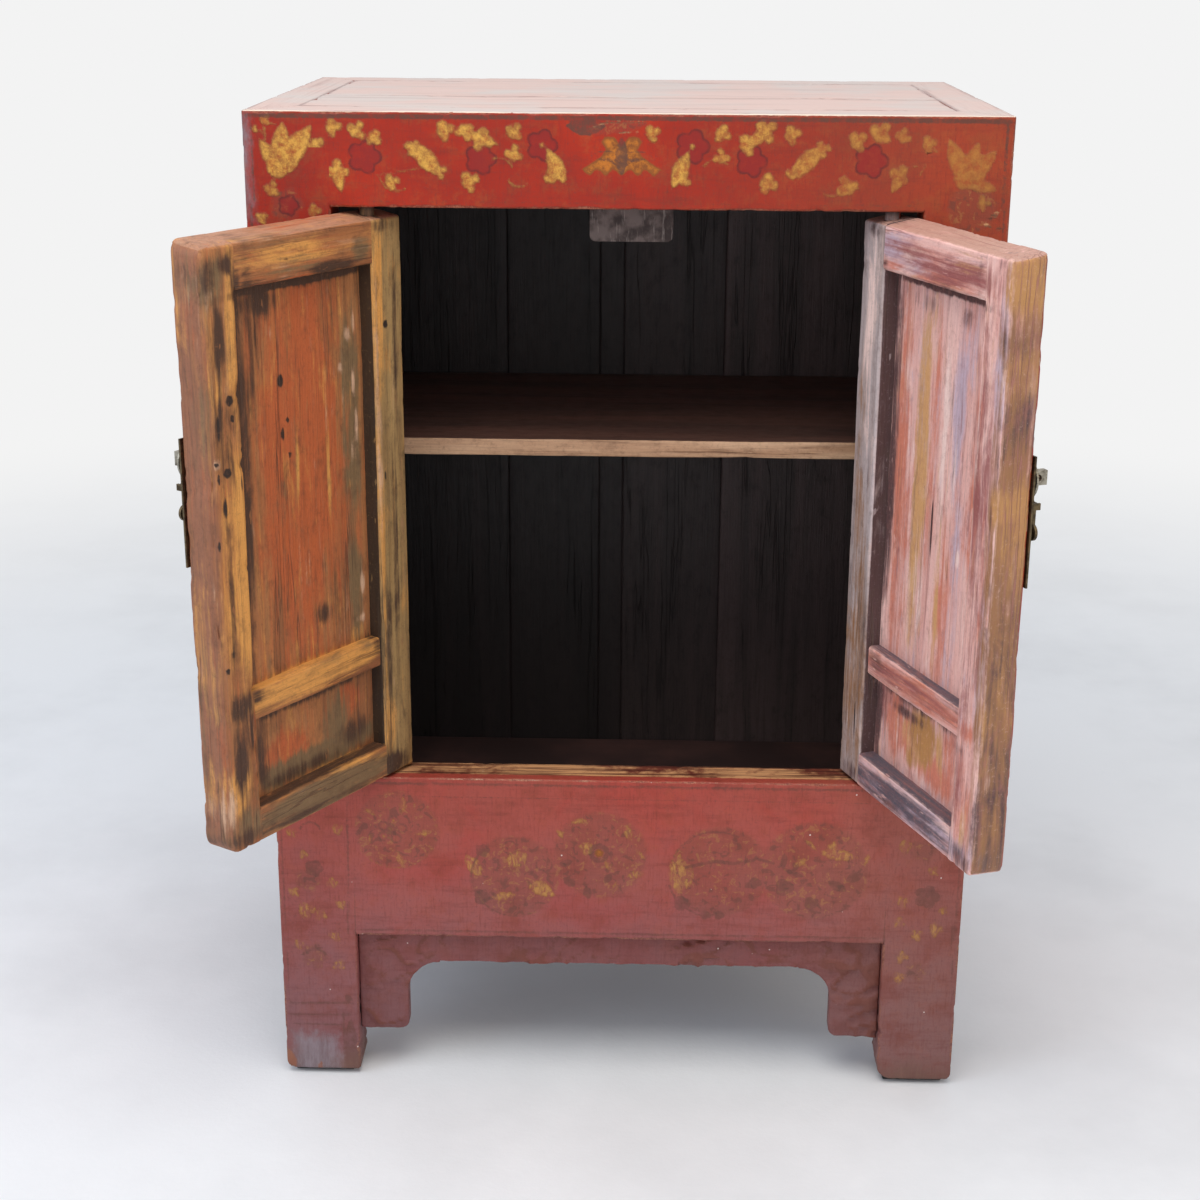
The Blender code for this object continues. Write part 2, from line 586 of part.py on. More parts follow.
def make_door(side, word, inset, opened, wood):
    """One door and its hardware, on an empty on the pivot line, turned open by the given angle."""
    pivot_place = (side * (half_opening - inset), pivot_y, 0)
    pivot = add_empty(word + "_door_pivot", pivot_place, cabinet, side * opened)
    prefix = word + "_door_"
    hinge_end = DOOR_HINGE_GAP - inset
    free_end = half_opening - inset - DOOR_MEETING_GAP / 2

    def place(d, y, z):
        """A box from distances from the pivot towards the free edge, depths and heights."""
        x = sorted((-side * d[0], -side * d[1]))
        return (x[0], y[0], z[0]), (x[1], y[1], z[1])

    stile_inner = hinge_end + STILE_WIDTH
    free_inner = free_end - STILE_WIDTH
    depth = (-half_door, half_door)
    between = (stile_inner + FIT, free_inner - FIT)
    middle_z = door_bottom + DOOR_MIDDLE_RAIL_CENTRE
    rails = {
        "top": place(between, depth, (door_top - DOOR_TOP_RAIL, door_top)),
        "middle": place(between, (-half_door, half_door - DOOR_MIDDLE_RAIL_SETBACK),
                        (middle_z - DOOR_MIDDLE_RAIL / 2, middle_z + DOOR_MIDDLE_RAIL / 2)),
        "bottom": place(between, depth, (door_bottom, door_bottom + DOOR_BOTTOM_RAIL)),
    }

    # Panels and the grooves that hold them
    panel_y = (half_door - DOOR_PANEL_RECESS - DOOR_PANEL_THICKNESS, half_door - DOOR_PANEL_RECESS)
    panel_d = (stile_inner - reach, free_inner + reach)
    grooves = {}
    for name, below, above in (("upper", "middle", "top"), ("lower", "bottom", "middle")):
        box = place(panel_d, panel_y, (rails[below][1][2] - reach, rails[above][0][2] + reach))
        board(prefix + name + "_panel", *box, wood, pivot)
        grooves[name] = tool_box(prefix + name + "_groove", *grown(*box), parent=pivot)
    for name, held in (("top", ("upper",)), ("middle", ("upper", "lower")), ("bottom", ("lower",))):
        slope = DOOR_TOP_SLOPE if name == "top" else 0.0
        cut(rail(prefix + name + "_rail", *rails[name], 0, wood, pivot, slope),
            *[grooves[panel] for panel in held])

    # Stiles: the hinge stile is round on its outer edge and carries a pivot on each end
    for name, d, end in (("hinge", (hinge_end, stile_inner), 1), ("free", (free_inner, free_end), -1)):
        shape, middle = box_shape(*place(d, depth, (door_bottom, door_top)))
        slope_top(shape, DOOR_TOP_SLOPE)
        outer = edges_where(shape, lambda co: co.x * side * end > 0)
        upright = [e for e in outer if abs(e.verts[0].co.z - e.verts[1].co.z) > STILE_WIDTH]
        front = [e for e in upright if e.verts[0].co.y < 0]
        inside = [e for e in upright if e.verts[0].co.y > 0]
        round_edges(shape, front, HINGE_EDGE_RADIUS if name == "hinge" else STILE_CORNER_RADIUS)
        round_edges(shape, [e for e in inside if e.is_valid], STILE_CORNER_RADIUS, 3)
        finish = "bare_stile_wood" if name == "hinge" else wood
        stile = soften(add_piece(prefix + name + "_stile", shape, finish, middle, pivot))
        cut(stile, *grooves.values())
        for box in rails.values():
            mortise(stile, *box, 0, side * end)
        if name == "hinge":
            top_z = (door_top - PIVOT_ROOT, opening_top + PIVOT_TOP_GRIP)
            foot_z = (sill_top - PIVOT_FOOT_GRIP, door_bottom + PIVOT_ROOT)
            for pin, z in (("top", top_z), ("foot", foot_z)):
                join(stile, tool_round(prefix + pin + "_pin", (0, 0, (z[0] + z[1]) / 2), PIVOT_RADIUS,
                                       z[1] - z[0], 2, pivot))

    # Lock plate with the two ears and the pin that the pull hangs on
    plate_d = (free_end - PLATE_EDGE_INSET - PLATE_WIDTH, free_end - PLATE_EDGE_INSET)
    plate_y = (-half_door - FIT - PLATE_THICKNESS, -half_door - FIT)
    plate_z = door_bottom + PLATE_CENTRE
    half_plate = PLATE_HEIGHT / 2
    shape, middle = box_shape(*place(plate_d, plate_y, (plate_z - half_plate, plate_z + half_plate)))
    clipped = [e for e in edges_where(shape, lambda co: co.x * side > 0)
               if abs(e.verts[0].co.z - e.verts[1].co.z) < PLATE_CLIP]
    round_edges(shape, clipped, PLATE_CLIP, 1)
    plate = add_piece(prefix + "lock_plate", shape, "aged_brass", middle, pivot)
    pull_d = free_end - PULL_INSET
    pin_z = plate_z + PULL_RISE
    pin_y = plate_y[0] - PULL_STANDOFF
    ear_gap = PULL_BARREL_LENGTH / 2 + PULL_SIDE_CLEARANCE
    ear_y = (pin_y - EAR_HEIGHT / 2, plate_y[0] + PLATE_THICKNESS / 2)
    for name, sign in (("outer", 1), ("inner", -1)):
        d = sorted((pull_d + sign * ear_gap, pull_d + sign * (ear_gap + EAR_THICKNESS)))
        join(plate, tool_box(prefix + name + "_ear",
                             *place(d, ear_y, (pin_z - EAR_HEIGHT / 2, pin_z + EAR_HEIGHT / 2)), pivot))
    pin_length = 2 * ear_gap + EAR_THICKNESS
    join(plate, tool_round(prefix + "pull_pin", (-side * pull_d, pin_y, pin_z), PULL_PIN_RADIUS,
                           pin_length, 0, pivot, 12))

    # Lock lug: a stem and a rosette, and a block with a hole for a bar lock
    lug_d = free_end - LUG_INSET
    lug_z = plate_z + LUG_RISE
    stem_y = plate_y[0] - FIT
    rosette_y = stem_y - LUG_STEM_LENGTH
    block_y = rosette_y - LUG_ROSETTE_THICKNESS
    stem_length = LUG_STEM_LENGTH + LUG_ROSETTE_THICKNESS / 2
    shape = round_shape(LUG_STEM_RADIUS, stem_length, 1, 16)
    lug = add_piece(prefix + "lock_lug", shape, "grey_steel",
                    (-side * lug_d, stem_y - stem_length / 2, lug_z), pivot)
    rosette_middle = (-side * lug_d, rosette_y - LUG_ROSETTE_THICKNESS / 2, lug_z)
    block = place((lug_d - LUG_WIDTH / 2, lug_d + LUG_WIDTH / 2),
                  (block_y - LUG_REACH, block_y + LUG_ROSETTE_THICKNESS / 2),
                  (lug_z - LUG_HEIGHT / 2, lug_z + LUG_HEIGHT / 2))
    join(lug, tool_round(prefix + "rosette", rosette_middle, LUG_ROSETTE_RADIUS, LUG_ROSETTE_THICKNESS, 1,
                         pivot),
         tool_box(prefix + "lug_block", *block, pivot))
    cut(lug, tool_round(prefix + "lug_hole", (-side * lug_d, block_y - LUG_REACH / 2, lug_z),
                        LUG_HOLE_RADIUS, LUG_WIDTH + 2 * OVERLAP, 0, pivot, 16))

    # Drop pull: a barrel on the pin, a neck and a round drop
    pin = add_empty(word + "_pull_pin", (-side * pull_d, pin_y, pin_z), pivot)
    barrel = round_shape(PULL_BARREL_RADIUS, PULL_BARREL_LENGTH, 0, 16)
    pull = add_piece(prefix + "pull", barrel, "aged_brass", (0, 0, 0), pin)
    drop_z = PULL_DROP_RADIUS - PULL_LENGTH
    half_neck = PULL_NECK_WIDTH / 2
    half_pull = PULL_THICKNESS / 2
    join(pull, tool_box(prefix + "pull_neck", (-half_neck, -half_pull, drop_z),
                        (half_neck, half_pull, -half_pull), pin),
         tool_round(prefix + "pull_drop", (0, 0, drop_z), PULL_DROP_RADIUS, PULL_THICKNESS, 1, pin))
    cut(pull, tool_round(prefix + "pull_bore", (0, 0, 0), PULL_PIN_RADIUS + PULL_PIN_CLEARANCE,
                         PULL_BARREL_LENGTH + 2 * OVERLAP, 0, pin, 12))


make_door(-1, "left", LEFT_PIVOT_INSET, LEFT_DOOR_OPEN, "ochre_door_wood")
make_door(1, "right", RIGHT_PIVOT_INSET, RIGHT_DOOR_OPEN, "mauve_door_wood")


def footprint_middle():
    """Middle of the box round every piece as it stands."""
    bpy.context.view_layer.update()
    graph = bpy.context.evaluated_depsgraph_get()
    points = []
    for piece in parts.objects:
        if piece.type != "EMPTY":
            mesh = piece.evaluated_get(graph).to_mesh()
            points += [piece.matrix_world @ v.co for v in mesh.vertices]
            piece.evaluated_get(graph).to_mesh_clear()
    return [(min(p[i] for p in points) + max(p[i] for p in points)) / 2 for i in (0, 1)]


middle_x, middle_y = footprint_middle()
cabinet.location = Vector((-middle_x, -middle_y, 0))
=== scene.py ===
import json
import math

import bmesh
import bpy
import numpy as np
from mathutils import Matrix, Vector, noise


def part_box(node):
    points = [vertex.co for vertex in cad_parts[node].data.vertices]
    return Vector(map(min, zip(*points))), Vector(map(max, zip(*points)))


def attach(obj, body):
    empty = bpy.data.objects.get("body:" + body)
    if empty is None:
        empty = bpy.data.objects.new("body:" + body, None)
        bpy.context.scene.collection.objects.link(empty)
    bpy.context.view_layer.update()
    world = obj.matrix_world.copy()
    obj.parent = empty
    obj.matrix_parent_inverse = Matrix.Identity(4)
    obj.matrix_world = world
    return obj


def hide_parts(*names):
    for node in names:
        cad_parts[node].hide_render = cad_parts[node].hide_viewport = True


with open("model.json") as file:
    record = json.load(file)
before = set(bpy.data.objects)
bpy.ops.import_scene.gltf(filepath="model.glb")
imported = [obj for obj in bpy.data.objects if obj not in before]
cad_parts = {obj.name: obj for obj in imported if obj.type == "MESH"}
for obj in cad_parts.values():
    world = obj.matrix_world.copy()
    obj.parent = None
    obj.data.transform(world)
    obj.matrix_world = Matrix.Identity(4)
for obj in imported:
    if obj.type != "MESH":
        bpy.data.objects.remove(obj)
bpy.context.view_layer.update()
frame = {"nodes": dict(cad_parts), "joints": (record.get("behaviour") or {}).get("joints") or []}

scene = bpy.context.scene

# The studio: a pale floor that runs off into a white room, one broad soft lamp overhead and
# in front, a cool one from the left and a weak warm one from the right. The camera stands a
# little above the cabinet's top and looks down at it, as the photograph does.


def shade(red, green, blue):
    """A colour given as it shows on screen, 0 to 255, as the linear colour a shader wants."""
    parts = []
    for part in (red, green, blue):
        part = part / 255.0
        parts.append(part / 12.92 if part <= 0.04045 else ((part + 0.055) / 1.055) ** 2.4)
    return (*parts, 1.0)


class Finish:
    """A surface being mixed: adds shader nodes and joins them."""

    def __init__(self, name):
        self.material = bpy.data.materials.new(name)
        self.material.use_nodes = True
        self.nodes = self.material.node_tree.nodes
        self.links = self.material.node_tree.links
        self.shader = self.nodes["Principled BSDF"]

    def feed(self, socket, value):
        if isinstance(value, bpy.types.NodeSocket):
            self.links.new(value, socket)
        else:
            socket.default_value = value

    def add(self, kind, inputs, **settings):
        node = self.nodes.new("ShaderNode" + kind)
        for key, value in settings.items():
            setattr(node, key, value)
        for key, value in inputs.items():
            self.feed(node.inputs[key], value)
        return node

    def here(self):
        return self.add("TexCoord", {}).outputs["Object"]

    def noted(self, name, output="Fac"):
        return self.add("Attribute", {}, attribute_name=name).outputs[output]

    def stretch(self, place, x, y, z, shift=0.0):
        inputs = {"Vector": place, "Scale": (x, y, z), "Location": (shift, shift, shift)}
        return self.add("Mapping", inputs).outputs["Vector"]

    def cloud(self, place, scale, detail=4.0, rough=0.6, twist=0.0):
        inputs = {"Vector": place, "Scale": scale, "Detail": detail, "Roughness": rough, "Distortion": twist}
        return self.add("TexNoise", inputs).outputs["Fac"]

    def span(self, value, low, high):
        inputs = {"Value": value, "From Min": low, "From Max": high}
        return self.add("MapRange", inputs, interpolation_type="SMOOTHSTEP").outputs["Result"]

    def sum(self, first, second, operation="ADD"):
        node = self.add("Math", {}, operation=operation)
        self.feed(node.inputs[0], first)
        self.feed(node.inputs[1], second)
        return node.outputs["Value"]

    def times(self, first, second):
        return self.sum(first, second, "MULTIPLY")

    def less(self, first, second):
        return self.sum(first, second, "SUBTRACT")

    def tint(self, amount, under, over, blend="MIX"):
        node = self.add("Mix", {}, data_type="RGBA", blend_type=blend)
        self.feed(node.inputs[0], amount)
        self.feed(node.inputs[6], under)
        self.feed(node.inputs[7], over)
        return node.outputs[2]

    def dress(self, colour, rough, height, depth):
        """Joins a colour, a roughness and a height, in metres of relief, to the shader."""
        self.feed(self.shader.inputs["Base Color"], colour)
        self.feed(self.shader.inputs["Roughness"], rough)
        bump = self.add("Bump", {"Height": height, "Distance": depth, "Strength": 1.0})
        self.feed(self.shader.inputs["Normal"], bump.outputs["Normal"])
        return self.material


ROOM_WHITE = shade(243, 243, 243)
FLOOR_PALE = shade(240, 242, 244)
FLOOR_DUSTY = shade(228, 230, 232)
FLOOR_HALF = 6.0
ROOM_STARTS = 0.9
ROOM_ENDS = 2.6

bm = bmesh.new()
bmesh.ops.create_grid(bm, x_segments=8, y_segments=8, size=FLOOR_HALF)
floor_mesh = bpy.data.meshes.new("floor")
bm.to_mesh(floor_mesh)
bm.free()
floor = bpy.data.objects.new("floor", floor_mesh)
scene.collection.objects.link(floor)

screed = Finish("pale_screed")
ground = screed.here()
mottle = screed.cloud(ground, 2.2, 5.0)
pits = screed.cloud(ground, 160.0, 3.0)
screed.dress(
    screed.tint(screed.span(mottle, 0.4, 0.7), FLOOR_PALE, FLOOR_DUSTY),
    screed.sum(0.55, screed.times(mottle, 0.2)), pits, 0.0003)
reach = screed.add("VectorMath", {0: ground}, operation="LENGTH").outputs["Value"]
seen = screed.add("LightPath", {}).outputs
far = screed.times(screed.span(reach, ROOM_STARTS, ROOM_ENDS), seen["Is Camera Ray"])
glow = screed.add("Emission", {"Color": ROOM_WHITE, "Strength": 1.0})
blend = screed.add("MixShader", {0: far, 1: screed.shader.outputs[0], 2: glow.outputs[0]})
screed.links.new(blend.outputs[0], screed.nodes["Material Output"].inputs["Surface"])
floor_mesh.materials.append(screed.material)

AMBIENT = 0.62
AMBIENT_COOL = shade(240, 245, 255)
world = bpy.data.worlds.new("white_room")
scene.world = world
world.use_nodes = True
room = world.node_tree
soft = room.nodes["Background"]
soft.inputs["Color"].default_value = AMBIENT_COOL
soft.inputs["Strength"].default_value = AMBIENT
wall = room.nodes.new("ShaderNodeBackground")
wall.inputs["Color"].default_value = ROOM_WHITE
wall.inputs["Strength"].default_value = 1.0
path = room.nodes.new("ShaderNodeLightPath")
either = room.nodes.new("ShaderNodeMath")
either.operation = "MAXIMUM"
room.links.new(path.outputs["Is Glossy Ray"], either.inputs[0])
room.links.new(path.outputs["Is Transmission Ray"], either.inputs[1])
direct = room.nodes.new("ShaderNodeMath")
direct.operation = "MAXIMUM"
room.links.new(path.outputs["Is Camera Ray"], direct.inputs[0])
room.links.new(either.outputs[0], direct.inputs[1])
choice = room.nodes.new("ShaderNodeMixShader")
room.links.new(direct.outputs[0], choice.inputs[0])
room.links.new(soft.outputs[0], choice.inputs[1])
room.links.new(wall.outputs[0], choice.inputs[2])
room.links.new(choice.outputs[0], room.nodes["World Output"].inputs["Surface"])


LAMP_AIM = Vector((0.0, 0.0, 0.45))


def lamp(name, place, size, power, colour):
    """A square soft box that faces the middle of the cabinet."""
    data = bpy.data.lights.new(name, "AREA")
    data.shape = "SQUARE"
    data.size = size
    data.energy = power
    data.color = colour[:3]
    holder = bpy.data.objects.new(name, data)
    holder.location = place
    holder.rotation_euler = (LAMP_AIM - Vector(place)).to_track_quat("-Z", "Y").to_euler()
    scene.collection.objects.link(holder)


lamp("overhead_box", (-0.10, -0.95, 2.35), size=1.5, power=30.0, colour=shade(255, 252, 246))
lamp("left_box", (-2.1, -1.2, 1.5), size=1.4, power=14.0, colour=shade(225, 238, 255))
lamp("right_box", (2.2, -1.0, 1.3), size=1.4, power=9.0, colour=shade(255, 240, 214))

CAMERA_PLACE = (0.0305, -1.6966, 0.9785)
CAMERA_TILT = 71.814
CAMERA_ROLL = -0.345
CAMERA_TURN = 1.453
CAMERA_LENS = 60.08
CAMERA_SENSOR = 36.0
camera_data = bpy.data.cameras.new("camera")
camera_data.lens = CAMERA_LENS
camera_data.sensor_width = CAMERA_SENSOR
camera_data.dof.use_dof = False
camera = bpy.data.objects.new("camera", camera_data)
camera.location = CAMERA_PLACE
camera.rotation_euler = [math.radians(angle) for angle in (CAMERA_TILT, CAMERA_ROLL, CAMERA_TURN)]
scene.collection.objects.link(camera)
scene.camera = camera
scene.view_settings.view_transform = "Standard"

# Foot pads: thin squares of black rubber cut from sheet and pinned under the four posts, so
# the wood doesn't draw damp from the floor. Their edges are dusty.

RUBBER = shade(34, 32, 31)
RUBBER_DUSTY = shade(88, 82, 78)


def coat_nodes(material, *names):
    """Gives CAD nodes that keep their shape a better finish."""
    for name in names:
        frame["nodes"][name].data.materials.clear()
        frame["nodes"][name].data.materials.append(material)


rubber = Finish("black_rubber_pad")
spot = rubber.here()
dust = rubber.cloud(spot, 90.0, 5.0, 0.7)
rubber.dress(
    rubber.tint(rubber.span(dust, 0.5, 0.75), RUBBER, RUBBER_DUSTY),
    rubber.sum(0.65, rubber.times(dust, 0.3)), rubber.cloud(spot, 900.0, 3.0), 0.0004)
coat_nodes(rubber.material, "front_left_foot_pad", "front_right_foot_pad", "rear_left_foot_pad",
           "rear_right_foot_pad")

# Posts: four solid square legs, lacquered red over a cloth ground, with rails and panels let into
# them. The front pair is wide and flat, painted with gilt sprigs, its feet scuffed down to grey
# and bare wood. The rear pair is stained black where it looks into the cabinet.

SIDES = ("-x", "+x", "-y", "+y", "-z", "+z")
EVERYWHERE = (-9.0, 9.0)
SAME_PLACE = 1e-6
MIDDLE_X = 0.5 * (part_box("front_left_post")[0].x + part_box("front_right_post")[1].x)
FRONT_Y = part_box("front_left_post")[0].y
FRONT_SKIN = 0.004
NO_PAINT = -9.0
RED_BRIGHT = shade(178, 44, 14)
RED_DEEP = shade(156, 36, 16)
RED_BROWN = shade(104, 40, 32)
RED_LOW_AND_FLOOR_REFLECTION = shade(168, 82, 70)
RED_KEPT = shade(176, 54, 42)
RED_FOOT = shade(128, 86, 88)
LACQUER_GRIME = shade(88, 52, 50)
GILT_BRIGHT = shade(212, 160, 70)
GILT_RUBBED = shade(158, 104, 48)
GILT_FADED = shade(178, 128, 70)
AMBER_GILT = shade(190, 112, 36)
AMBER_DARK = shade(132, 74, 30)
GOLD_HAZE = shade(186, 112, 50)
PETAL_RED = shade(138, 32, 28)
PETAL_DARK = shade(78, 28, 30)
ROUNDEL_BROWN = shade(120, 70, 56)
INK_BROWN = shade(88, 58, 48)
FOOT_GREY = shade(140, 128, 134)
FOOT_BROWN = shade(130, 98, 82)
END_BROWN = shade(122, 78, 50)
BARE_WOOD = shade(212, 160, 112)
EDGE_BROWN = shade(110, 58, 44)
FLECK_WHITE = shade(224, 210, 204)
CHIP_CREAM = shade(214, 188, 160)
TREAD_DARK = shade(64, 32, 26)
FOOT_BARE = shade(166, 110, 82)


def block(low, high):
    """A plain block between two corners."""
    bm = bmesh.new()
    bmesh.ops.create_cube(bm, size=1.0)
    bmesh.ops.scale(bm, vec=Vector(high) - Vector(low), verts=bm.verts)
    bmesh.ops.translate(bm, vec=0.5 * (Vector(low) + Vector(high)), verts=bm.verts)
    return bm


def in_cells(bm, cell):
    """Cuts the long edges that run along each axis into lengths of about one cell."""
    for axis in range(3):
        edges = []
        longest = 0.0
        for edge in bm.edges:
            run = edge.verts[1].co - edge.verts[0].co
            if abs(run[axis]) > 0.99 * run.length and run.length > 1.6 * cell[axis]:
                edges.append(edge)
                longest = max(longest, run.length)
        if edges:
            cuts = max(1, round(longest / cell[axis]) - 1)
            bmesh.ops.subdivide_edges(bm, edges=edges, cuts=cuts, use_grid_fill=True)


def sides_of(point, low, high):
    """The sides of a block that a point lies on."""
    on = []
    for axis in range(3):
        if abs(point[axis] - low[axis]) < SAME_PLACE:
            on.append(SIDES[2 * axis])
        if abs(point[axis] - high[axis]) < SAME_PLACE:
            on.append(SIDES[2 * axis + 1])
    return on


def is_covered(side, height, covered):
    """True where a neighbour covers that side of a piece at that height."""
    return any(side == name and start < height < stop for name, start, stop in covered)


def ease_arrises(bm, low, high, radius, covered=(), segments=3):
    """Rounds the edges of a block, apart from those that meet a flush neighbour."""
    edges = []
    for edge in bm.edges:
        shared = set(sides_of(edge.verts[0].co, low, high)) & set(sides_of(edge.verts[1].co, low, high))
        height = 0.5 * (edge.verts[0].co.z + edge.verts[1].co.z)
        if len(shared) == 2 and not any(is_covered(side, height, covered) for side in shared):
            edges.append(edge)
    bmesh.ops.bevel(
        bm, geom=edges, offset=radius, offset_type="OFFSET", segments=segments, profile=0.5,
        affect="EDGES", material=-1, clamp_overlap=True)


def round_corner(bm, axes, corner, inward, radius):
    """Draws one square corner of a block in to a quarter round, seen along the third axis."""
    first, second = axes
    for vert in bm.verts:
        across = radius - (vert.co[first] - corner[0]) * inward[0]
        up = radius - (vert.co[second] - corner[1]) * inward[1]
        if across > 0.0 and up > 0.0:
            pull = max(across, up) / math.hypot(across, up)
            vert.co[first] = corner[0] + (radius - across * pull) * inward[0]
            vert.co[second] = corner[1] + (radius - up * pull) * inward[1]


def arris_distance(points, low, high, covered=()):
    """How far each point of a block's skin is from its nearest open arris, in millimetres."""
    gaps = np.empty((len(points), 6))
    for axis in range(3):
        gaps[:, 2 * axis] = np.abs(points[:, axis] - low[axis])
        gaps[:, 2 * axis + 1] = np.abs(points[:, axis] - high[axis])
    for side, start, stop in covered:
        hidden = (points[:, 2] > start) & (points[:, 2] < stop)
        gaps[hidden, SIDES.index(side)] = 1.0
    return 1000.0 * np.sort(gaps, axis=1)[:, 1]


RIPPLE_RATE = 14.0
CHIP_RATE = 38.0
SPLINTER_RATE = 170.0
CHIP_REACH = 5.0
CHIP_FROM = 0.22


def weather(bm, edge, ripple, chip, seed):
    """Makes a planed face gently uneven and bites small chips out of its arrises."""
    bm.normal_update()
    shift = Vector((seed * 1.7, seed * 0.9, seed * 2.3))
    for vert, near in zip(bm.verts, edge.tolist()):
        move = ripple * noise.noise(RIPPLE_RATE * vert.co + shift)
        if near < CHIP_REACH:
            bite = noise.noise(CHIP_RATE * vert.co - shift)
            bite += 0.7 * noise.noise(SPLINTER_RATE * vert.co + shift)
            move -= chip * max(0.0, bite - CHIP_FROM) * (1.0 - near / CHIP_REACH)
        vert.co += move * vert.normal


def points_of(bm):
    return np.array([vert.co[:] for vert in bm.verts])


def worn_board(low, high, cell, arris, ripple, chip, seed, covered=()):
    """A board in small cells, eased and then worn; also its points before wear and their arris distance."""
    bm = block(low, high)
    in_cells(bm, cell)
    ease_arrises(bm, low, high, arris, covered)
    points = points_of(bm)
    edge = arris_distance(points, low, high, covered)
    weather(bm, edge, ripple, chip, seed)
    return bm, points, edge


def note(piece, name, values):
    """Keeps one number, or one vector, for each vertex of a piece, for its material to read."""
    values = np.asarray(values, dtype=np.float32)
    kind = "FLOAT" if values.ndim == 1 else "FLOAT_VECTOR"
    layer = piece.data.attributes.new(name, kind, "POINT")
    layer.data.foreach_set("value" if values.ndim == 1 else "vector", values.ravel())


SHARP_FROM = math.radians(38.0)
FACES_THAT_WAY = 0.6


def set_up(bm, name, materials, body, slot, *nodes):
    """Turns a finished bmesh into a piece that rides on a body and stands for its CAD nodes."""
    mesh = bpy.data.meshes.new(name)
    bm.to_mesh(mesh)
    bm.free()
    mesh.shade_smooth()
    mesh.set_sharp_from_angle(angle=SHARP_FROM)
    for material in materials:
        mesh.materials.append(material)
    piece = bpy.data.objects.new(name, mesh)
    scene.collection.objects.link(piece)
    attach(piece, body)
    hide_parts(*nodes)
    return piece


def leaf(x, z, spot, length, width, turn):
    """How far inside a pointed leaf each place lies, in millimetres."""
    swing = math.radians(turn)
    along = (x - spot[0]) * math.cos(swing) + (z - spot[1]) * math.sin(swing)
    across = (z - spot[1]) * math.cos(swing) - (x - spot[0]) * math.sin(swing)
    return 0.5 * width * (1.0 - (2.0 * along / length) ** 2) - np.abs(across)


def blossom(x, z, spot, radius, petals=5):
    """How far inside a round blossom with notched petals each place lies."""
    far = np.hypot(x - spot[0], z - spot[1])
    turn = np.arctan2(z - spot[1], x - spot[0])
    return radius * (0.74 + 0.26 * np.abs(np.cos(0.5 * petals * turn))) - far


def ring(x, z, spot, radius, thickness, start, stop):
    """How far inside an arc of brushed line each place lies."""
    far = np.hypot(x - spot[0], z - spot[1])
    turn = np.degrees(np.arctan2(z - spot[1], x - spot[0]))
    return np.where((turn > start) & (turn < stop), 0.5 * thickness - np.abs(far - radius), NO_PAINT)


def line(x, z, start, stop, thickness):
    """How far inside a straight brushed line each place lies."""
    run = (stop[0] - start[0], stop[1] - start[1])
    length = math.hypot(*run)
    along = ((x - start[0]) * run[0] + (z - start[1]) * run[1]) / length
    along = np.clip(along, 0.0, length) / length
    return 0.5 * thickness - np.hypot(x - start[0] - along * run[0], z - start[1] - along * run[1])


def oblong(x, z, spot, wide, tall):
    """How far inside an upright oblong each place lies."""
    return np.minimum(0.5 * wide - np.abs(x - spot[0]), 0.5 * tall - np.abs(z - spot[1]))


BRUSHWORK = {"leaf": leaf, "blossom": blossom, "ring": ring, "line": line, "oblong": oblong}
LAYERS = ("gilt", "amber", "petal", "roundel", "ink", "bare", "scuff")


def paint(piece, x, z, front, strokes):
    """Notes the brushwork on a piece: each stroke is a layer, a shape and that shape's measures."""
    fields = {name: np.full(len(x), NO_PAINT) for name in LAYERS}
    for layer, shape, *measures in strokes:
        fields[layer] = np.maximum(fields[layer], BRUSHWORK[shape](x, z, *measures))
    for name, field in fields.items():
        note(piece, name, np.where(front, field, NO_PAINT))


def paint_front(piece, points, strokes):
    """Paints a piece of the cabinet's front, in millimetres from its middle and the floor."""
    paint(piece, 1000.0 * (points[:, 0] - MIDDLE_X), 1000.0 * points[:, 2],
          points[:, 1] < FRONT_Y + FRONT_SKIN, strokes)


def sprigs(*rows):
    """Lobed gilt leaves: each row is x, z, size and turn."""
    marks = []
    for x, z, size, turn in rows:
        marks.append(("gilt", "blossom", (x, z), 0.34 * size, 0))
        for lean, reach, lobe in ((0.0, 0.40, 0.24), (80.0, 0.30, 0.27), (-95.0, 0.32, 0.22)):
            swing = math.radians(turn + lean)
            spot = (x + reach * size * math.cos(swing), z + reach * size * math.sin(swing))
            marks.append(("gilt", "blossom", spot, lobe * size, 0))
    return marks


def strokes(layer, *rows):
    """Single pointed strokes of one colour: each row is x, z, length, width and turn."""
    return [(layer, "leaf", (x, z), length, width, turn) for x, z, length, width, turn in rows]


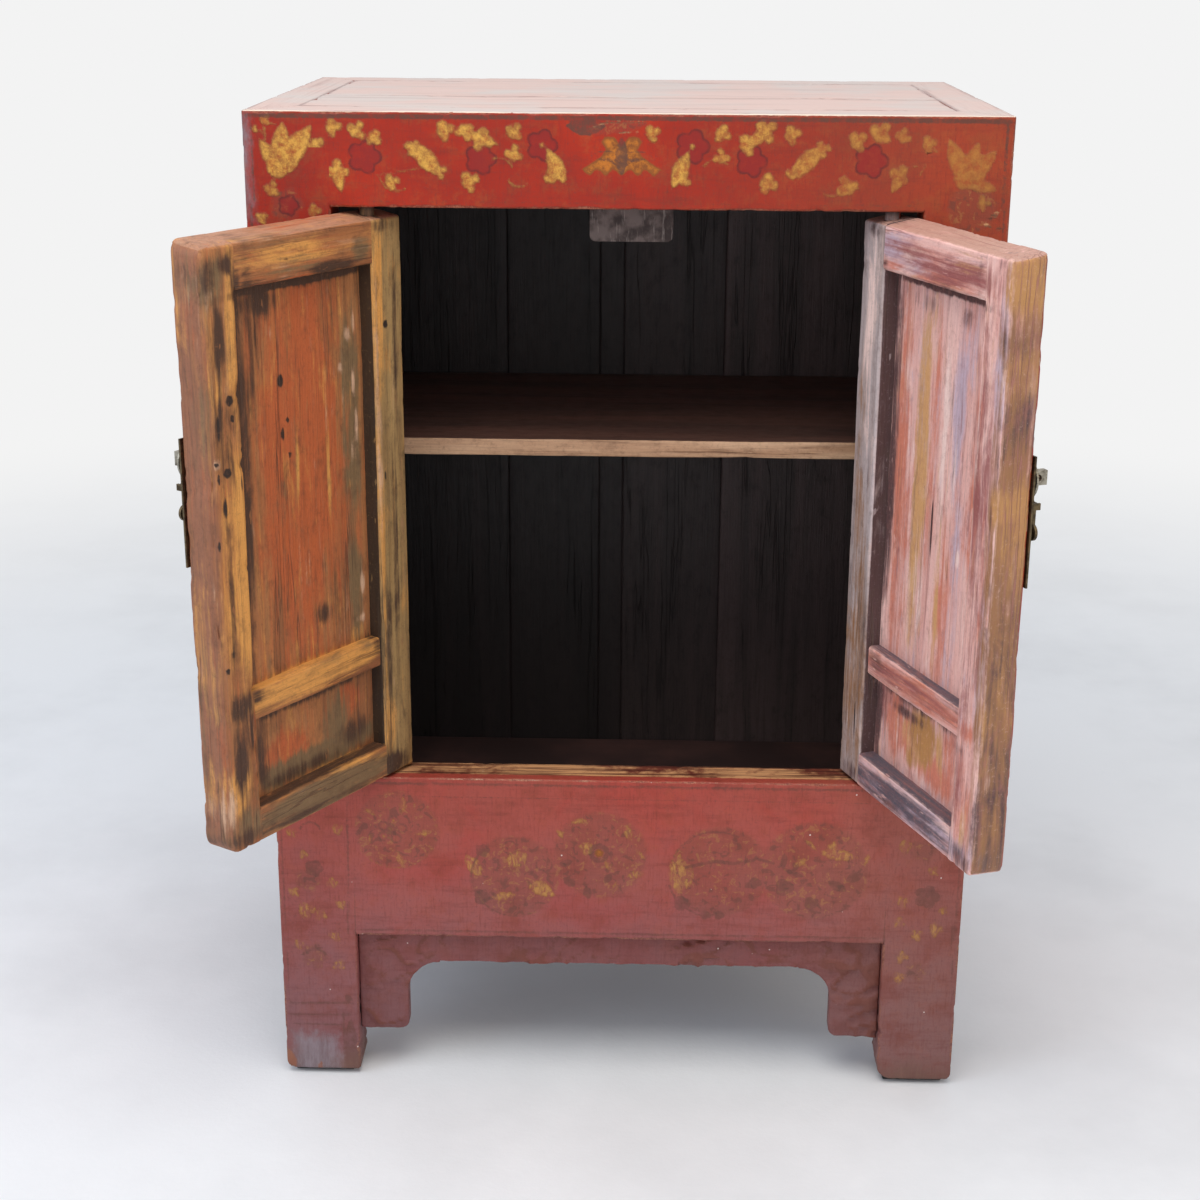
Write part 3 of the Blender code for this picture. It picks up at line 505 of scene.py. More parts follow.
def lacquer(name, painted=True, dulled=0.0):
    """Red lacquer over gesso: uneven, rubbed on its arrises, flecked, grimed low down, and greyer low down,
    partly as a painted reflection of the floor.
    """
    coat = Finish(name)
    here = coat.here()
    axes = coat.add("SeparateXYZ", {"Vector": here}).outputs
    height = axes["Z"]
    faded_end = coat.times(coat.span(axes["X"], 0.02, 0.30), coat.span(height, 0.66, 0.76))
    broad = coat.cloud(here, 7.0, 3.0)
    patch = coat.cloud(here, 30.0, 6.0, 0.65)
    fine = coat.cloud(here, 420.0, 4.0, 0.7)
    brush = coat.cloud(coat.stretch(here, 22.0, 22.0, 170.0), 1.0, 5.0, 0.7)
    weave = coat.cloud(coat.stretch(here, 520.0, 520.0, 60.0), 1.0, 3.0, 0.7)
    colour = coat.tint(coat.span(broad, 0.38, 0.62), RED_BRIGHT, RED_DEEP)
    low_down = coat.less(1.0, coat.span(height, 0.20, 0.62))
    # Low down the red turns greyer: partly fading, partly a painted reflection of the pale floor.
    colour = coat.tint(coat.times(low_down, 0.85), colour, RED_LOW_AND_FLOOR_REFLECTION)
    kept_red = coat.span(coat.cloud(here, 12.0, 6.0, 0.65, 0.4), 0.46, 0.66)
    colour = coat.tint(coat.times(coat.times(kept_red, low_down), 0.45), colour, RED_KEPT)
    wiped = coat.sum(height, coat.times(coat.less(patch, 0.5), 0.16))
    colour = coat.tint(coat.times(coat.less(1.0, coat.span(wiped, 0.02, 0.29)), 0.95), colour, RED_FOOT)
    colour = coat.tint(coat.times(faded_end, 0.4), colour, END_BROWN)
    grimy_end = coat.times(coat.span(axes["X"], 0.12, 0.28), low_down)
    colour = coat.tint(coat.times(grimy_end, 0.3), colour, FOOT_BROWN)
    haze = coat.span(coat.cloud(here, 60.0, 7.0, 0.75), 0.46, 0.72)
    colour = coat.tint(coat.times(haze, coat.less(0.24, coat.times(low_down, 0.16))), colour, GOLD_HAZE)
    colour = coat.tint(coat.times(coat.span(patch, 0.46, 0.76), 0.5), colour, RED_BROWN)
    colour = coat.tint(coat.times(coat.span(brush, 0.46, 0.8), 0.45), colour, RED_BROWN)
    colour = coat.tint(coat.times(coat.span(weave, 0.46, 0.8), 0.42), colour, RED_BROWN)
    colour = coat.tint(coat.times(coat.span(fine, 0.5, 0.8), 0.45), colour, LACQUER_GRIME)
    if dulled:
        colour = coat.tint(coat.sum(dulled, coat.times(patch, 0.3)), colour, LACQUER_GRIME)
        crust = coat.sum(coat.noted("crust"), coat.times(coat.less(fine, 0.5), 0.6))
        colour = coat.tint(coat.times(coat.span(crust, 0.1, 0.4), 0.7), colour, EDGE_BROWN)
    relief = coat.sum(coat.times(patch, 0.5), coat.times(fine, 0.25))
    relief = coat.sum(relief, coat.times(weave, 0.12))
    if painted:
        ragged = coat.times(coat.less(coat.cloud(here, 300.0, 7.0, 0.85), 0.5), 8.0)
        rubbed = coat.span(coat.cloud(here, 120.0, 6.0, 0.75), 0.34, 0.56)
        roundel = coat.span(coat.sum(coat.noted("roundel"), ragged), -1.0, 4.0)
        worked = coat.cloud(here, 130.0, 3.0, 0.55, 0.7)
        colour = coat.tint(coat.times(roundel, 0.34), colour, ROUNDEL_BROWN)
        dark_bits = coat.less(1.0, coat.span(worked, 0.37, 0.44))
        colour = coat.tint(coat.times(coat.times(roundel, dark_bits), 0.45), colour, INK_BROWN)
        gold_bits = coat.times(coat.span(worked, 0.56, 0.62), coat.span(fine, 0.38, 0.52))
        colour = coat.tint(coat.times(coat.times(roundel, gold_bits), 0.3), colour, GILT_FADED)
        petal = coat.sum(coat.noted("petal"), coat.times(ragged, 0.6))
        heart = coat.span(coat.sum(petal, coat.times(rubbed, 0.8)), 0.8, 3.6)
        bloom = coat.tint(heart, PETAL_DARK, PETAL_RED)
        petal = coat.times(coat.span(petal, -1.0, 1.0), coat.sum(0.35, coat.times(rubbed, 0.55)))
        colour = coat.tint(petal, colour, bloom)
        gilt = coat.sum(coat.noted("gilt"), coat.times(ragged, 0.8))
        tarnish = coat.cloud(here, 170.0, 6.0, 0.75)
        gold = coat.tint(coat.span(tarnish, 0.40, 0.64), GILT_BRIGHT, GILT_RUBBED)
        gold = coat.tint(coat.times(coat.span(fine, 0.5, 0.8), 0.5), gold, GILT_RUBBED)
        gold = coat.tint(coat.times(low_down, 0.7), gold, GILT_FADED)
        gold = coat.tint(coat.times(faded_end, 0.55), gold, GILT_RUBBED)
        gold = coat.tint(coat.span(gilt, 0.0, 3.0), GILT_RUBBED, gold)
        stipple = coat.cloud(coat.stretch(here, 300.0, 300.0, 130.0), 1.0, 3.0, 0.6, 0.6)
        stipple = coat.times(coat.span(stipple, 0.42, 0.60), 0.66)
        kept = coat.less(1.0, coat.times(low_down, coat.less(0.86, stipple)))
        kept = coat.less(kept, coat.times(faded_end, 0.38))
        gilt = coat.times(coat.span(gilt, -0.8, 1.3), kept)
        colour = coat.tint(coat.times(gilt, coat.sum(0.4, coat.times(rubbed, 0.6))), colour, gold)
        amber = coat.sum(coat.noted("amber"), coat.times(ragged, 0.6))
        wing = coat.tint(coat.span(tarnish, 0.36, 0.62), AMBER_GILT, AMBER_DARK)
        wing = coat.tint(coat.span(amber, 0.0, 4.0), AMBER_DARK, wing)
        colour = coat.tint(coat.span(amber, -0.8, 1.0), colour, wing)
        relief = coat.sum(relief, coat.times(gilt, 0.35))
        ink = coat.span(coat.sum(coat.noted("ink"), coat.times(ragged, 0.6)), -0.3, 0.8)
        ink = coat.times(ink, coat.less(1.0, coat.times(low_down, 0.4)))
        colour = coat.tint(coat.times(ink, coat.sum(0.35, coat.times(rubbed, 0.5))), colour, INK_BROWN)
        rub = coat.sum(coat.noted("edge"), coat.times(coat.less(patch, 0.5), 9.0))
        rub = coat.less(1.0, coat.span(rub, 0.1, 2.0))
        wood = coat.tint(coat.span(fine, 0.42, 0.6), EDGE_BROWN, FOOT_BARE)
        colour = coat.tint(coat.times(rub, 0.7), colour, wood)
        relief = coat.less(relief, coat.times(rub, 0.5))
        upright = coat.cloud(coat.stretch(here, 170.0, 170.0, 30.0), 1.0, 6.0, 0.7)
        sole = coat.sum(height, coat.times(coat.less(patch, 0.5), 0.05))
        sole = coat.less(1.0, coat.span(sole, 0.004, 0.032))
        colour = coat.tint(coat.times(sole, 0.9), colour, coat.tint(upright, FOOT_BROWN, LACQUER_GRIME))
        smear = coat.cloud(coat.stretch(here, 60.0, 60.0, 34.0), 1.0, 6.0, 0.7)
        scuff = coat.sum(coat.noted("scuff"), coat.times(coat.less(smear, 0.5), 34.0))
        scuff = coat.span(scuff, -2.0, 12.0)
        worn = coat.tint(coat.times(coat.span(upright, 0.36, 0.74), 0.6), FOOT_GREY, LACQUER_GRIME)
        colour = coat.tint(coat.times(scuff, 0.85), colour, worn)
        bare = coat.span(coat.sum(coat.noted("bare"), ragged), -0.5, 1.0)
        tread = coat.tint(coat.span(brush, 0.45, 0.62), BARE_WOOD, EDGE_BROWN)
        planed = coat.cloud(coat.stretch(here, 12.0, 300.0, 300.0), 1.0, 4.0, 0.6, 0.4)
        tread = coat.tint(coat.times(coat.span(planed, 0.42, 0.60), 0.85), tread, TREAD_DARK)
        step = coat.span(height, 0.06, 0.2)
        tread = coat.tint(step, coat.tint(upright, FOOT_BARE, EDGE_BROWN), tread)
        colour = coat.tint(coat.times(bare, 0.9), colour, tread)
        chips = coat.times(coat.noted("chip"), coat.cloud(here, 75.0, 6.0, 0.75))
        chips = coat.times(coat.span(chips, 1.2, 1.6), coat.span(broad, 0.44, 0.62))
        colour = coat.tint(coat.times(chips, 0.85), colour, CHIP_CREAM)
    dots = coat.add("TexVoronoi", {"Vector": here, "Scale": 130.0})
    chosen = coat.add("SeparateColor", {"Color": dots.outputs["Color"]}).outputs["Red"]
    fleck = coat.sum(dots.outputs["Distance"], coat.times(coat.less(fine, 0.5), 0.16))
    fleck = coat.less(1.0, coat.span(fleck, 0.04, 0.12))
    sparse = 0.94 if dulled else 0.965
    fleck = coat.times(coat.times(fleck, coat.span(chosen, sparse, sparse + 0.005)), low_down)
    colour = coat.tint(fleck, colour, FLECK_WHITE)
    rough = coat.sum(0.34, coat.times(patch, 0.32))
    coat.dress(colour, rough, relief, 0.0020 if dulled else 0.0009)
    coat.shader.inputs["Specular IOR Level"].default_value = 0.32
    return coat.material


painted_lacquer = lacquer("painted_red_lacquer")
FRONT_CELL = (0.0024, 0.0060, 0.0024)
REAR_CELL = (0.0060, 0.0060, 0.0060)
POST_ARRIS = 0.0018
RAGGED_DEEP = 0.004
RAGGED_FOOT = 0.014
RAGGED_HEAD = 0.076
RAGGED_RATE = 110.0
POST_RIPPLE = 0.0005
POST_CHIP = 0.0022
TOP_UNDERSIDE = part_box("top_frame_front")[0].z
FRIEZE_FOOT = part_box("frieze_rail")[0].z
SILL_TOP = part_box("sill_rail")[1].z
PANEL_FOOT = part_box("lower_front_panel")[0].z

corner_strokes = [
    ("ink", "line", (-296, 849), (296, 849), 4.0), ("ink", "line", (-293, 783), (-293, 849), 1.8),
    ("ink", "line", (294, 783), (294, 849), 2.6), ("scuff", "oblong", (-300, 812), 14, 90)]
for foot, tips in (((-273, 806), ((-268, 843), (-247, 840), (-286, 830), (-260, 826))),
                   ((264, 802), ((250, 834), (272, 832), (286, 826), (288, 797)))):
    corner_strokes.append(("gilt", "blossom", (foot[0] + 2, foot[1] + 8), 14, 3))
    for tip in tips:
        middle = (0.5 * (foot[0] + tip[0]), 0.5 * (foot[1] + tip[1]))
        reach = math.dist(foot, tip)
        turn = math.degrees(math.atan2(tip[1] - foot[1], tip[0] - foot[0]))
        corner_strokes.append(("gilt", "leaf", middle, 1.12 * reach, 0.42 * reach, turn))
post_strokes = {
    "left": [
        ("roundel", "blossom", (-267, 781), 15), ("petal", "blossom", (-266, 780), 9),
        ("ink", "blossom", (-268, 205), 9),
        ("roundel", "blossom", (-274, 194), 13), ("roundel", "blossom", (-271, 119), 14),
        ("ink", "ring", (-270, 240), 9, 3, 10, 170), ("ink", "ring", (-271, 114), 12, 3, 20, 160),
        ("ink", "line", (-236, 285), (-240, 142), 2.6), ("ink", "line", (-295, 124), (-296, 64), 1.6),
        ("ink", "line", (-294, 71), (-238, 73), 3.0), ("ink", "line", (-295, 60), (-240, 61), 2.6),
        ("ink", "line", (-292, 51), (-250, 50), 2.4),
        ("ink", "blossom", (-242, 77), 4, 3), ("bare", "leaf", (-299, 8), 34, 16, 84),
        ("scuff", "oblong", (-272, 17), 46, 52), ("ink", "leaf", (-241, 26), 66, 13, 90),
        ("ink", "line", (-247, 62), (-247, 6), 2.6), ("bare", "leaf", (-270, 7), 14, 4, 80),
    ] + sprigs(
        (-288, 769, 11, 40), (-247, 776, 11, 0), (-279, 791, 13, 70), (-247, 242, 11, 30),
        (-252, 190, 11, 100), (-287, 181, 11, 60), (-278, 163, 16, 20), (-265, 160, 12, -20),
        (-246, 169, 10, 45), (-252, 138, 11, 60), (-250, 111, 12, -40), (-287, 238, 10, 50),
        (-278, 218, 9, 0), (-285, 130, 10, 20)),
    "right": [
        ("roundel", "blossom", (264, 232), 13), ("ink", "blossom", (269, 187), 12),
        ("roundel", "blossom", (263, 114), 11),
        ("ink", "line", (292, 160), (297, 91), 2.0), ("roundel", "blossom", (270, 782), 20, 0),
        ("bare", "leaf", (288, 777), 14, 4, 40), ("bare", "leaf", (282, 770), 9, 3, -30),
        ("bare", "leaf", (291, 767), 8, 3, 10),
    ] + sprigs(
        (247, 234, 13, 20), (273, 211, 10, 60), (247, 181, 12, 30), (245, 162, 11, -20),
        (261, 149, 12, 40), (277, 155, 14, 10), (284, 173, 9, 80), (249, 128, 12, 0),
        (248, 107, 12, 20), (278, 786, 12, 10)),
}
foot_rounds = {"left": (0.003, 0.008), "right": (0.014, 0.006)}
for side, turn in (("left", -1.0), ("right", 1.0)):
    node = f"front_{side}_post"
    low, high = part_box(node)
    high.z = TOP_UNDERSIDE
    inner = "+x" if side == "left" else "-x"
    covered = [(inner, FRIEZE_FOOT, TOP_UNDERSIDE), (inner, PANEL_FOOT, SILL_TOP), ("+z", *EVERYWHERE)]
    bm, points, edge = worn_board(low, high, FRONT_CELL, POST_ARRIS, 0.0, POST_CHIP, 1, covered)
    inner_x = high.x if side == "left" else low.x
    for vert in bm.verts:
        if abs(vert.co.x - inner_x) < RAGGED_DEEP and RAGGED_FOOT < vert.co.z < RAGGED_HEAD:
            vert.co.x += turn * RAGGED_DEEP * max(0.0, noise.noise(RAGGED_RATE * vert.co) + 0.1)
    outer_x = low.x if side == "left" else high.x
    inner_round, outer_round = foot_rounds[side]
    round_corner(bm, (0, 2), (inner_x, low.z), (turn, 1.0), inner_round)
    round_corner(bm, (0, 2), (outer_x, low.z), (-turn, 1.0), outer_round)
    piece = set_up(bm, node + "_worn", [painted_lacquer], "carcass", "red_lacquer", node)
    note(piece, "edge", edge)
    border = [("ink", "line", (turn * 296, 145), (turn * 296, 780), 2.6),
              ("ink", "line", (turn * 229, 285), (turn * 233, 140), 3.4)]
    paint_front(piece, points, post_strokes[side] + border + corner_strokes)

INSIDE_BLACK = shade(38, 28, 25)
INSIDE_BROWN = shade(58, 41, 33)
INSIDE_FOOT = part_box("floor_board")[0].z


def black_stain(name, black, brown, run):
    """Wood stained almost black and streaked along its grain; run is how fast it varies along x, y and z."""
    stain = Finish(name)
    here = stain.here()
    streak = stain.cloud(stain.stretch(here, *run), 1.0, 5.0)
    patch = stain.cloud(here, 9.0, 4.0)
    tone = stain.tint(stain.span(patch, 0.4, 0.7), black, brown)
    tone = stain.tint(stain.times(stain.span(streak, 0.5, 0.8), 0.6), tone, black)
    return stain.dress(tone, stain.sum(0.45, stain.times(patch, 0.2)), streak, 0.0005)


dark_inside = black_stain("dark_inside_wood", INSIDE_BLACK, INSIDE_BROWN, (60.0, 60.0, 4.0))
for side, turn in (("left", -1.0), ("right", 1.0)):
    node = f"rear_{side}_post"
    low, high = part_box(node)
    bm, points, edge = worn_board(low, high, REAR_CELL, POST_ARRIS, POST_RIPPLE, POST_CHIP, 2)
    panel_low, panel_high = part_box(f"{side}_side_panel")
    panel_back = panel_high.x if side == "left" else panel_low.x
    bm.normal_update()
    for face in bm.faces:
        spot = face.calc_center_median()
        within = face.normal.y < -FACES_THAT_WAY and turn * (spot.x - panel_back) < 0.0
        looks_in = within or turn * face.normal.x < -FACES_THAT_WAY
        face.material_index = 1 if looks_in and spot.z > INSIDE_FOOT else 0
    piece = set_up(bm, node + "_worn", [painted_lacquer, dark_inside], "carcass", "red_lacquer", node)
    note(piece, "edge", edge)
    paint_front(piece, points, [])

# Frieze rail: the board over the doors, tenoned between the posts. Lacquer runs over the joints
# so they don't show, and a row of gilt leaves, dark blossoms and a butterfly is painted on it.

PAINT_CELL = (0.0015, 0.0060, 0.0015)
FRIEZE_ARRIS = 0.0012
SHOULDER_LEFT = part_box("front_left_post")[1].x
SHOULDER_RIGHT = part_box("front_right_post")[0].x


def butterfly(x, z, spot):
    """How far inside a butterfly with hanging wings each place lies."""
    across = np.abs(x - spot[0])
    drop = spot[1] - z
    drops = (-13.0, -9.0, -3.0, 2.0, 9.0, 14.0, 17.0)
    halves = (13.0, 16.0, 12.5, 16.0, 26.0, 35.0, 33.0)
    half = np.interp(drop, drops, halves)
    hem = 14.5 + 2.2 * np.cos(0.5 * across) - drop
    notch = drop + 13.0 - np.maximum(0.0, 8.0 - 1.4 * across)
    return np.minimum.reduce((half - across, hem, notch))


BRUSHWORK["butterfly"] = butterfly
frieze_strokes = corner_strokes + [
    ("amber", "butterfly", (-4, 822)), ("ink", "leaf", (-4, 820), 32, 10, 90),
    ("ink", "leaf", (-4, 822), 18, 9, 90), ("ink", "ring", (-20, 800), 18, 1.8, 20, 100),
    ("ink", "ring", (12, 800), 18, 1.8, 80, 160),
    ("ink", "ring", (-12, 806), 12, 1.6, 40, 120), ("ink", "ring", (4, 806), 12, 1.6, 60, 140),
    ("ink", "ring", (-16, 804), 20, 1.4, 60, 130), ("ink", "ring", (8, 804), 20, 1.4, 50, 120),
    ("ink", "leaf", (-32, 843), 32, 15, 0), ("roundel", "leaf", (-10, 842), 60, 12, 8),
    ("bare", "line", (-29, 841), (-16, 846), 1.4), ("bare", "line", (-16, 846), (12, 846), 1.4),
    ("bare", "line", (-6, 838), (8, 839), 1.0),
    ("ink", "line", (-232, 784), (233, 784), 1.0),
    ("gilt", "ring", (-291, 830), 9, 0.9, -60, 60), ("gilt", "ring", (-276, 835), 8, 0.9, 60, 170),
    ("gilt", "line", (-196, 804), (-160, 810), 0.9), ("gilt", "line", (212, 812), (242, 818), 0.9),
]
frieze_strokes += [("petal", "blossom", (x, z), radius) for x, z, radius in (
    (-205, 818, 14), (-114, 817, 13), (-66, 828, 13), (51, 828, 14), (97, 817, 13), (190, 818, 14))]
frieze_strokes += [("gilt", "blossom", (x, z), 2.6) for x, z in ((-66, 828), (51, 828))]
frieze_strokes += sprigs(
    (-230, 840, 14, 10), (-243, 828, 13, -60), (-226, 806, 17, 95), (-211, 837, 15, 60),
    (-198, 833, 13, -35), (-166, 825, 13, 160), (-147, 808, 12, -70), (-185, 798, 13, 25),
    (-143, 838, 16, 20),
    (-127, 839, 15, -60), (-114, 832, 18, -15), (-124, 799, 16, 30), (-88, 837, 14, 60), (-88, 820, 14, 80),
    (-58, 803, 13, 110), (19, 837, 13, 30), (44, 802, 13, 70),
    (73, 838, 14, -20), (74, 819, 13, 100), (93, 829, 17, 30), (107, 839, 18, 40), (109, 800, 16, -10),
    (127, 837, 15, 20), (151, 826, 13, 20), (130, 807, 12, 80), (178, 832, 16, 40),
    (196, 838, 18, 60), (173, 797, 17, 120), (212, 806, 16, 60), (214, 836, 13, 80), (233, 831, 13, 20),
    (-282, 845, 9, 60), (-290, 838, 6, 80), (280, 788, 11, 10))
frieze_strokes += strokes(
    "gilt", (-157, 817, 36, 15, -48), (-55, 812, 32, 13, -62), (42, 810, 32, 13, 66), (140, 817, 36, 15, 44),
    (-226, 803, 26, 10, 100), (212, 803, 22, 10, 60), (-114, 833, 30, 9, -20), (102, 835, 30, 10, 35))
for x, z, radius, start, stop in (
        (-296, 836, 14, -40, 40), (-270, 842, 10, 150, 179), (-240, 814, 16, 100, 170),
        (-180, 806, 14, -170, -60), (-100, 806, 12, 20, 120), (-84, 806, 10, -160, -40),
        (70, 806, 12, 40, 150), (160, 806, 15, -120, -20), (228, 818, 14, -60, 80), (240, 804, 12, 60, 170)):
    frieze_strokes.append(("gilt", "ring", (x, z), radius, 1.5, start, stop))

low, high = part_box("frieze_rail")
low.x = SHOULDER_LEFT
high.x = SHOULDER_RIGHT
high.z = TOP_UNDERSIDE
covered = [(side, *EVERYWHERE) for side in ("-x", "+x", "+z")]
bm, points, edge = worn_board(low, high, PAINT_CELL, FRIEZE_ARRIS, 0.0, POST_CHIP, 3, covered)
piece = set_up(bm, "frieze_rail_worn", [painted_lacquer], "carcass", "red_lacquer", "frieze_rail")
note(piece, "edge", edge)
paint_front(piece, points, frieze_strokes)

# Lower front: the sill rail under the doors and the panel below it, flush with the posts and
# lacquered with them. Faded flower roundels are painted on the panel; the sill's tread, which
# the doors stand over when they are shut, is worn through to bare wood at its back.

SILL_CELL = (0.0030, 0.0030, 0.0024)
SILL_ARRIS = 0.0018
TREAD_BARE_FROM = FRONT_Y + 0.010
CHIPPED_BAND = 3.4
panel_strokes = [
    ("roundel", "blossom", (-194, 243), 38, 0), ("gilt", "ring", (-196, 243), 36, 1.3, -150, -20),
    ("gilt", "ring", (-196, 243), 36, 1.0, -20, 40), ("ink", "blossom", (-199, 243), 5, 0),
    ("gilt", "blossom", (-200, 244), 3, 3), ("gilt", "ring", (-176, 265), 4, 1.2, -180, 180),
    ("gilt", "ring", (-204, 262), 3.5, 1.2, -180, 180), ("gilt", "ring", (-205, 224), 6, 1.1, -180, 20),
    ("roundel", "blossom", (-92, 200), 40, 0), ("ink", "ring", (-92, 199), 38, 2.6, 140, 180),
    ("ink", "ring", (-92, 199), 37, 1.6, -180, -60), ("ink", "blossom", (-121, 180), 8, 3),
    ("ink", "blossom", (-120, 225), 7), ("ink", "ring", (-68, 212), 5, 2.0, -180, 180),
    ("ink", "ring", (-96, 228), 6, 2.0, -180, 180), ("roundel", "blossom", (-17, 222), 42, 0),
    ("ink", "ring", (-18, 224), 7, 5, -180, 180), ("amber", "blossom", (-18, 224), 4.0, 0),
    ("roundel", "blossom", (88, 208), 44, 0), ("roundel", "blossom", (170, 210), 48, 0),
    ("ink", "ring", (84, 206), 40, 2, 60, 165), ("ink", "ring", (84, 206), 42, 2.4, -165, -95),
    ("ink", "line", (58, 212), (83, 218), 3.4), ("ink", "line", (83, 218), (100, 216), 4),
    ("ink", "line", (100, 216), (120, 221), 3.4), ("ink", "line", (120, 221), (134, 217), 3),
    ("ink", "blossom", (119, 198), 6, 3), ("ink", "blossom", (144, 194), 9, 3),
    ("ink", "blossom", (88, 166), 5, 3), ("ink", "blossom", (76, 166), 5, 3),
    ("ink", "blossom", (55, 177), 8, 3), ("ink", "blossom", (168, 179), 7, 3),
    ("ink", "line", (-228, 146), (229, 146), 2.4), ("ink", "line", (-228, 287), (229, 287), 3.2),
    ("ink", "line", (-228, 275), (229, 275), 1.2),
]
for spot in ((-206, 247), (-197, 252), (-190, 245), (-195, 235), (-206, 237)):
    panel_strokes.append(("ink", "ring", spot, 4.0, 2.4, -180, 180))
    panel_strokes.append(("gilt", "blossom", spot, 1.8, 0))
panel_strokes += strokes(
    "gilt", (-189, 266, 20, 6, 80), (-217, 260, 12, 5, -30), (-218, 234, 14, 4, 70), (-171, 240, 15, 4, 5),
    (-193, 217, 18, 7, -70), (-128, 210, 26, 13, -60), (-90, 217, 22, 17, 30), (-69, 189, 30, 14, -28),
    (-102, 181, 24, 9, 10), (-29, 228, 16, 13, -20), (-9, 211, 15, 6, -50), (-36, 254, 16, 6, 10),
    (-52, 242, 12, 5, -60), (-4, 191, 14, 5, 75), (7, 244, 16, 8, -75), (18, 223, 14, 5, -50),
    (14, 204, 17, 8, 15), (51, 205, 46, 17, 93), (60, 203, 26, 10, 85), (157, 218, 14, 8, 40),
    (184, 232, 18, 10, 60), (190, 226, 36, 11, -8), (166, 235, 16, 5, -45), (215, 222, 12, 5, 70))
panel_strokes += strokes(
    "ink", (-47, 214, 14, 7, 20), (-44, 196, 14, 8, -40), (-28, 186, 14, 8, 100), (-10, 200, 12, 7, 60),
    (100, 238, 12, 4, 90), (143, 219, 18, 6, 85), (152, 208, 20, 5, -20), (133, 232, 8, 5, 40),
    (205, 205, 18, 10, 30), (190, 196, 20, 9, -30))

for node, cell, joint in (("sill_rail", SILL_CELL, "-z"), ("lower_front_panel", PAINT_CELL, "+z")):
    low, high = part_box(node)
    low.x = SHOULDER_LEFT
    high.x = SHOULDER_RIGHT
    if node == "lower_front_panel":
        high.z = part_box("sill_rail")[0].z
    covered = [(side, *EVERYWHERE) for side in ("-x", "+x", joint)]
    bm, points, edge = worn_board(low, high, cell, SILL_ARRIS, 0.0, POST_CHIP, 4, covered)
    piece = set_up(bm, node + "_worn", [painted_lacquer], "carcass", "red_lacquer", node)
    note(piece, "edge", edge)
    paint_front(piece, points, panel_strokes)
    if node == "sill_rail":
        bare = 1000.0 * (points[:, 1] - TREAD_BARE_FROM)
        bare_layer = piece.data.attributes["bare"]
        bare_layer.data.foreach_set("value", bare.astype(np.float32))
        chip = np.clip(CHIPPED_BAND - edge, 0.0, 3.0)
        note(piece, "chip", np.where(points[:, 1] < TREAD_BARE_FROM, chip, 0.0))

# Apron: a rail let in under the lower front and two coved brackets, set back from the posts,
# darker and dirtier than the rest, with drips in the lacquer.

DRIP = 0.0048
APRON_CELL = (0.003, 0.005, 0.003)
APRON_ARRIS = 0.0012
HAIR = 1e-5
APRON_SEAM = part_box("apron_rail")[0].z
dull_lacquer = lacquer("dull_red_lacquer", painted=False, dulled=0.14)


def bracket_copy(node):
    """A copy of a bracket's CAD mesh, eased and cut into small cells, that meets the rail above it."""
    bm = bmesh.new()
    bm.from_mesh(frame["nodes"][node].data)
    bmesh.ops.remove_doubles(bm, verts=bm.verts, dist=SAME_PLACE)
    bmesh.ops.dissolve_limit(bm, angle_limit=math.radians(1.0), verts=bm.verts, edges=bm.edges)
    low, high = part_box(node)
    sharp = [edge for edge in bm.edges if edge.is_manifold and edge.calc_face_angle() > math.radians(40.0)
             and min(vert.co.z for vert in edge.verts) < high.z - HAIR]
    bmesh.ops.bevel(
        bm, geom=sharp, offset=APRON_ARRIS, offset_type="OFFSET", segments=2, profile=0.5, affect="EDGES",
        material=-1, clamp_overlap=True)
    for axis in (0, 2):
        across = Vector((1.0, 0.0, 0.0)) if axis == 0 else Vector((0.0, 0.0, 1.0))
        for count in range(1, round((high[axis] - low[axis]) / APRON_CELL[axis])):
            bmesh.ops.bisect_plane(
                bm, geom=bm.verts[:] + bm.edges[:] + bm.faces[:], plane_no=across,
                plane_co=low + count * APRON_CELL[axis] * across, dist=HAIR)
    for vert in bm.verts:
        if vert.co.z > high.z - HAIR:
            vert.co.z = APRON_SEAM
    return bm


for node in ("apron_rail", "left_apron_bracket", "right_apron_bracket"):
    if node == "apron_rail":
        low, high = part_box(node)
        bm = block(low, high)
        in_cells(bm, APRON_CELL)
        ease_arrises(bm, low, high, APRON_ARRIS, [("-z", *EVERYWHERE)])
    else:
        bm = bracket_copy(node)
    bm.normal_update()
    crust = np.zeros(len(bm.verts))
    for count, vert in enumerate(bm.verts):
        if vert.normal.y < -0.5:
            run = Vector((34.0 * vert.co.x + 20.0 * vert.co.z, 0.0, 75.0 * vert.co.z - 26.0 * vert.co.x))
            ridge = max(0.0, 1.0 - 5.0 * abs(noise.noise(run))) * max(0.0, noise.noise(26.0 * vert.co) + 0.3)
            vert.co.y -= DRIP * ridge + 0.2 * DRIP * noise.noise(210.0 * vert.co)
            crust[count] = ridge
    piece = set_up(bm, node + "_worn", [dull_lacquer], "carcass", "red_lacquer", node)
    note(piece, "crust", crust)

# Sides: a rail at the top and the bottom of each side with a thin panel held in their grooves,
# lacquered plain red outside and stained black within.

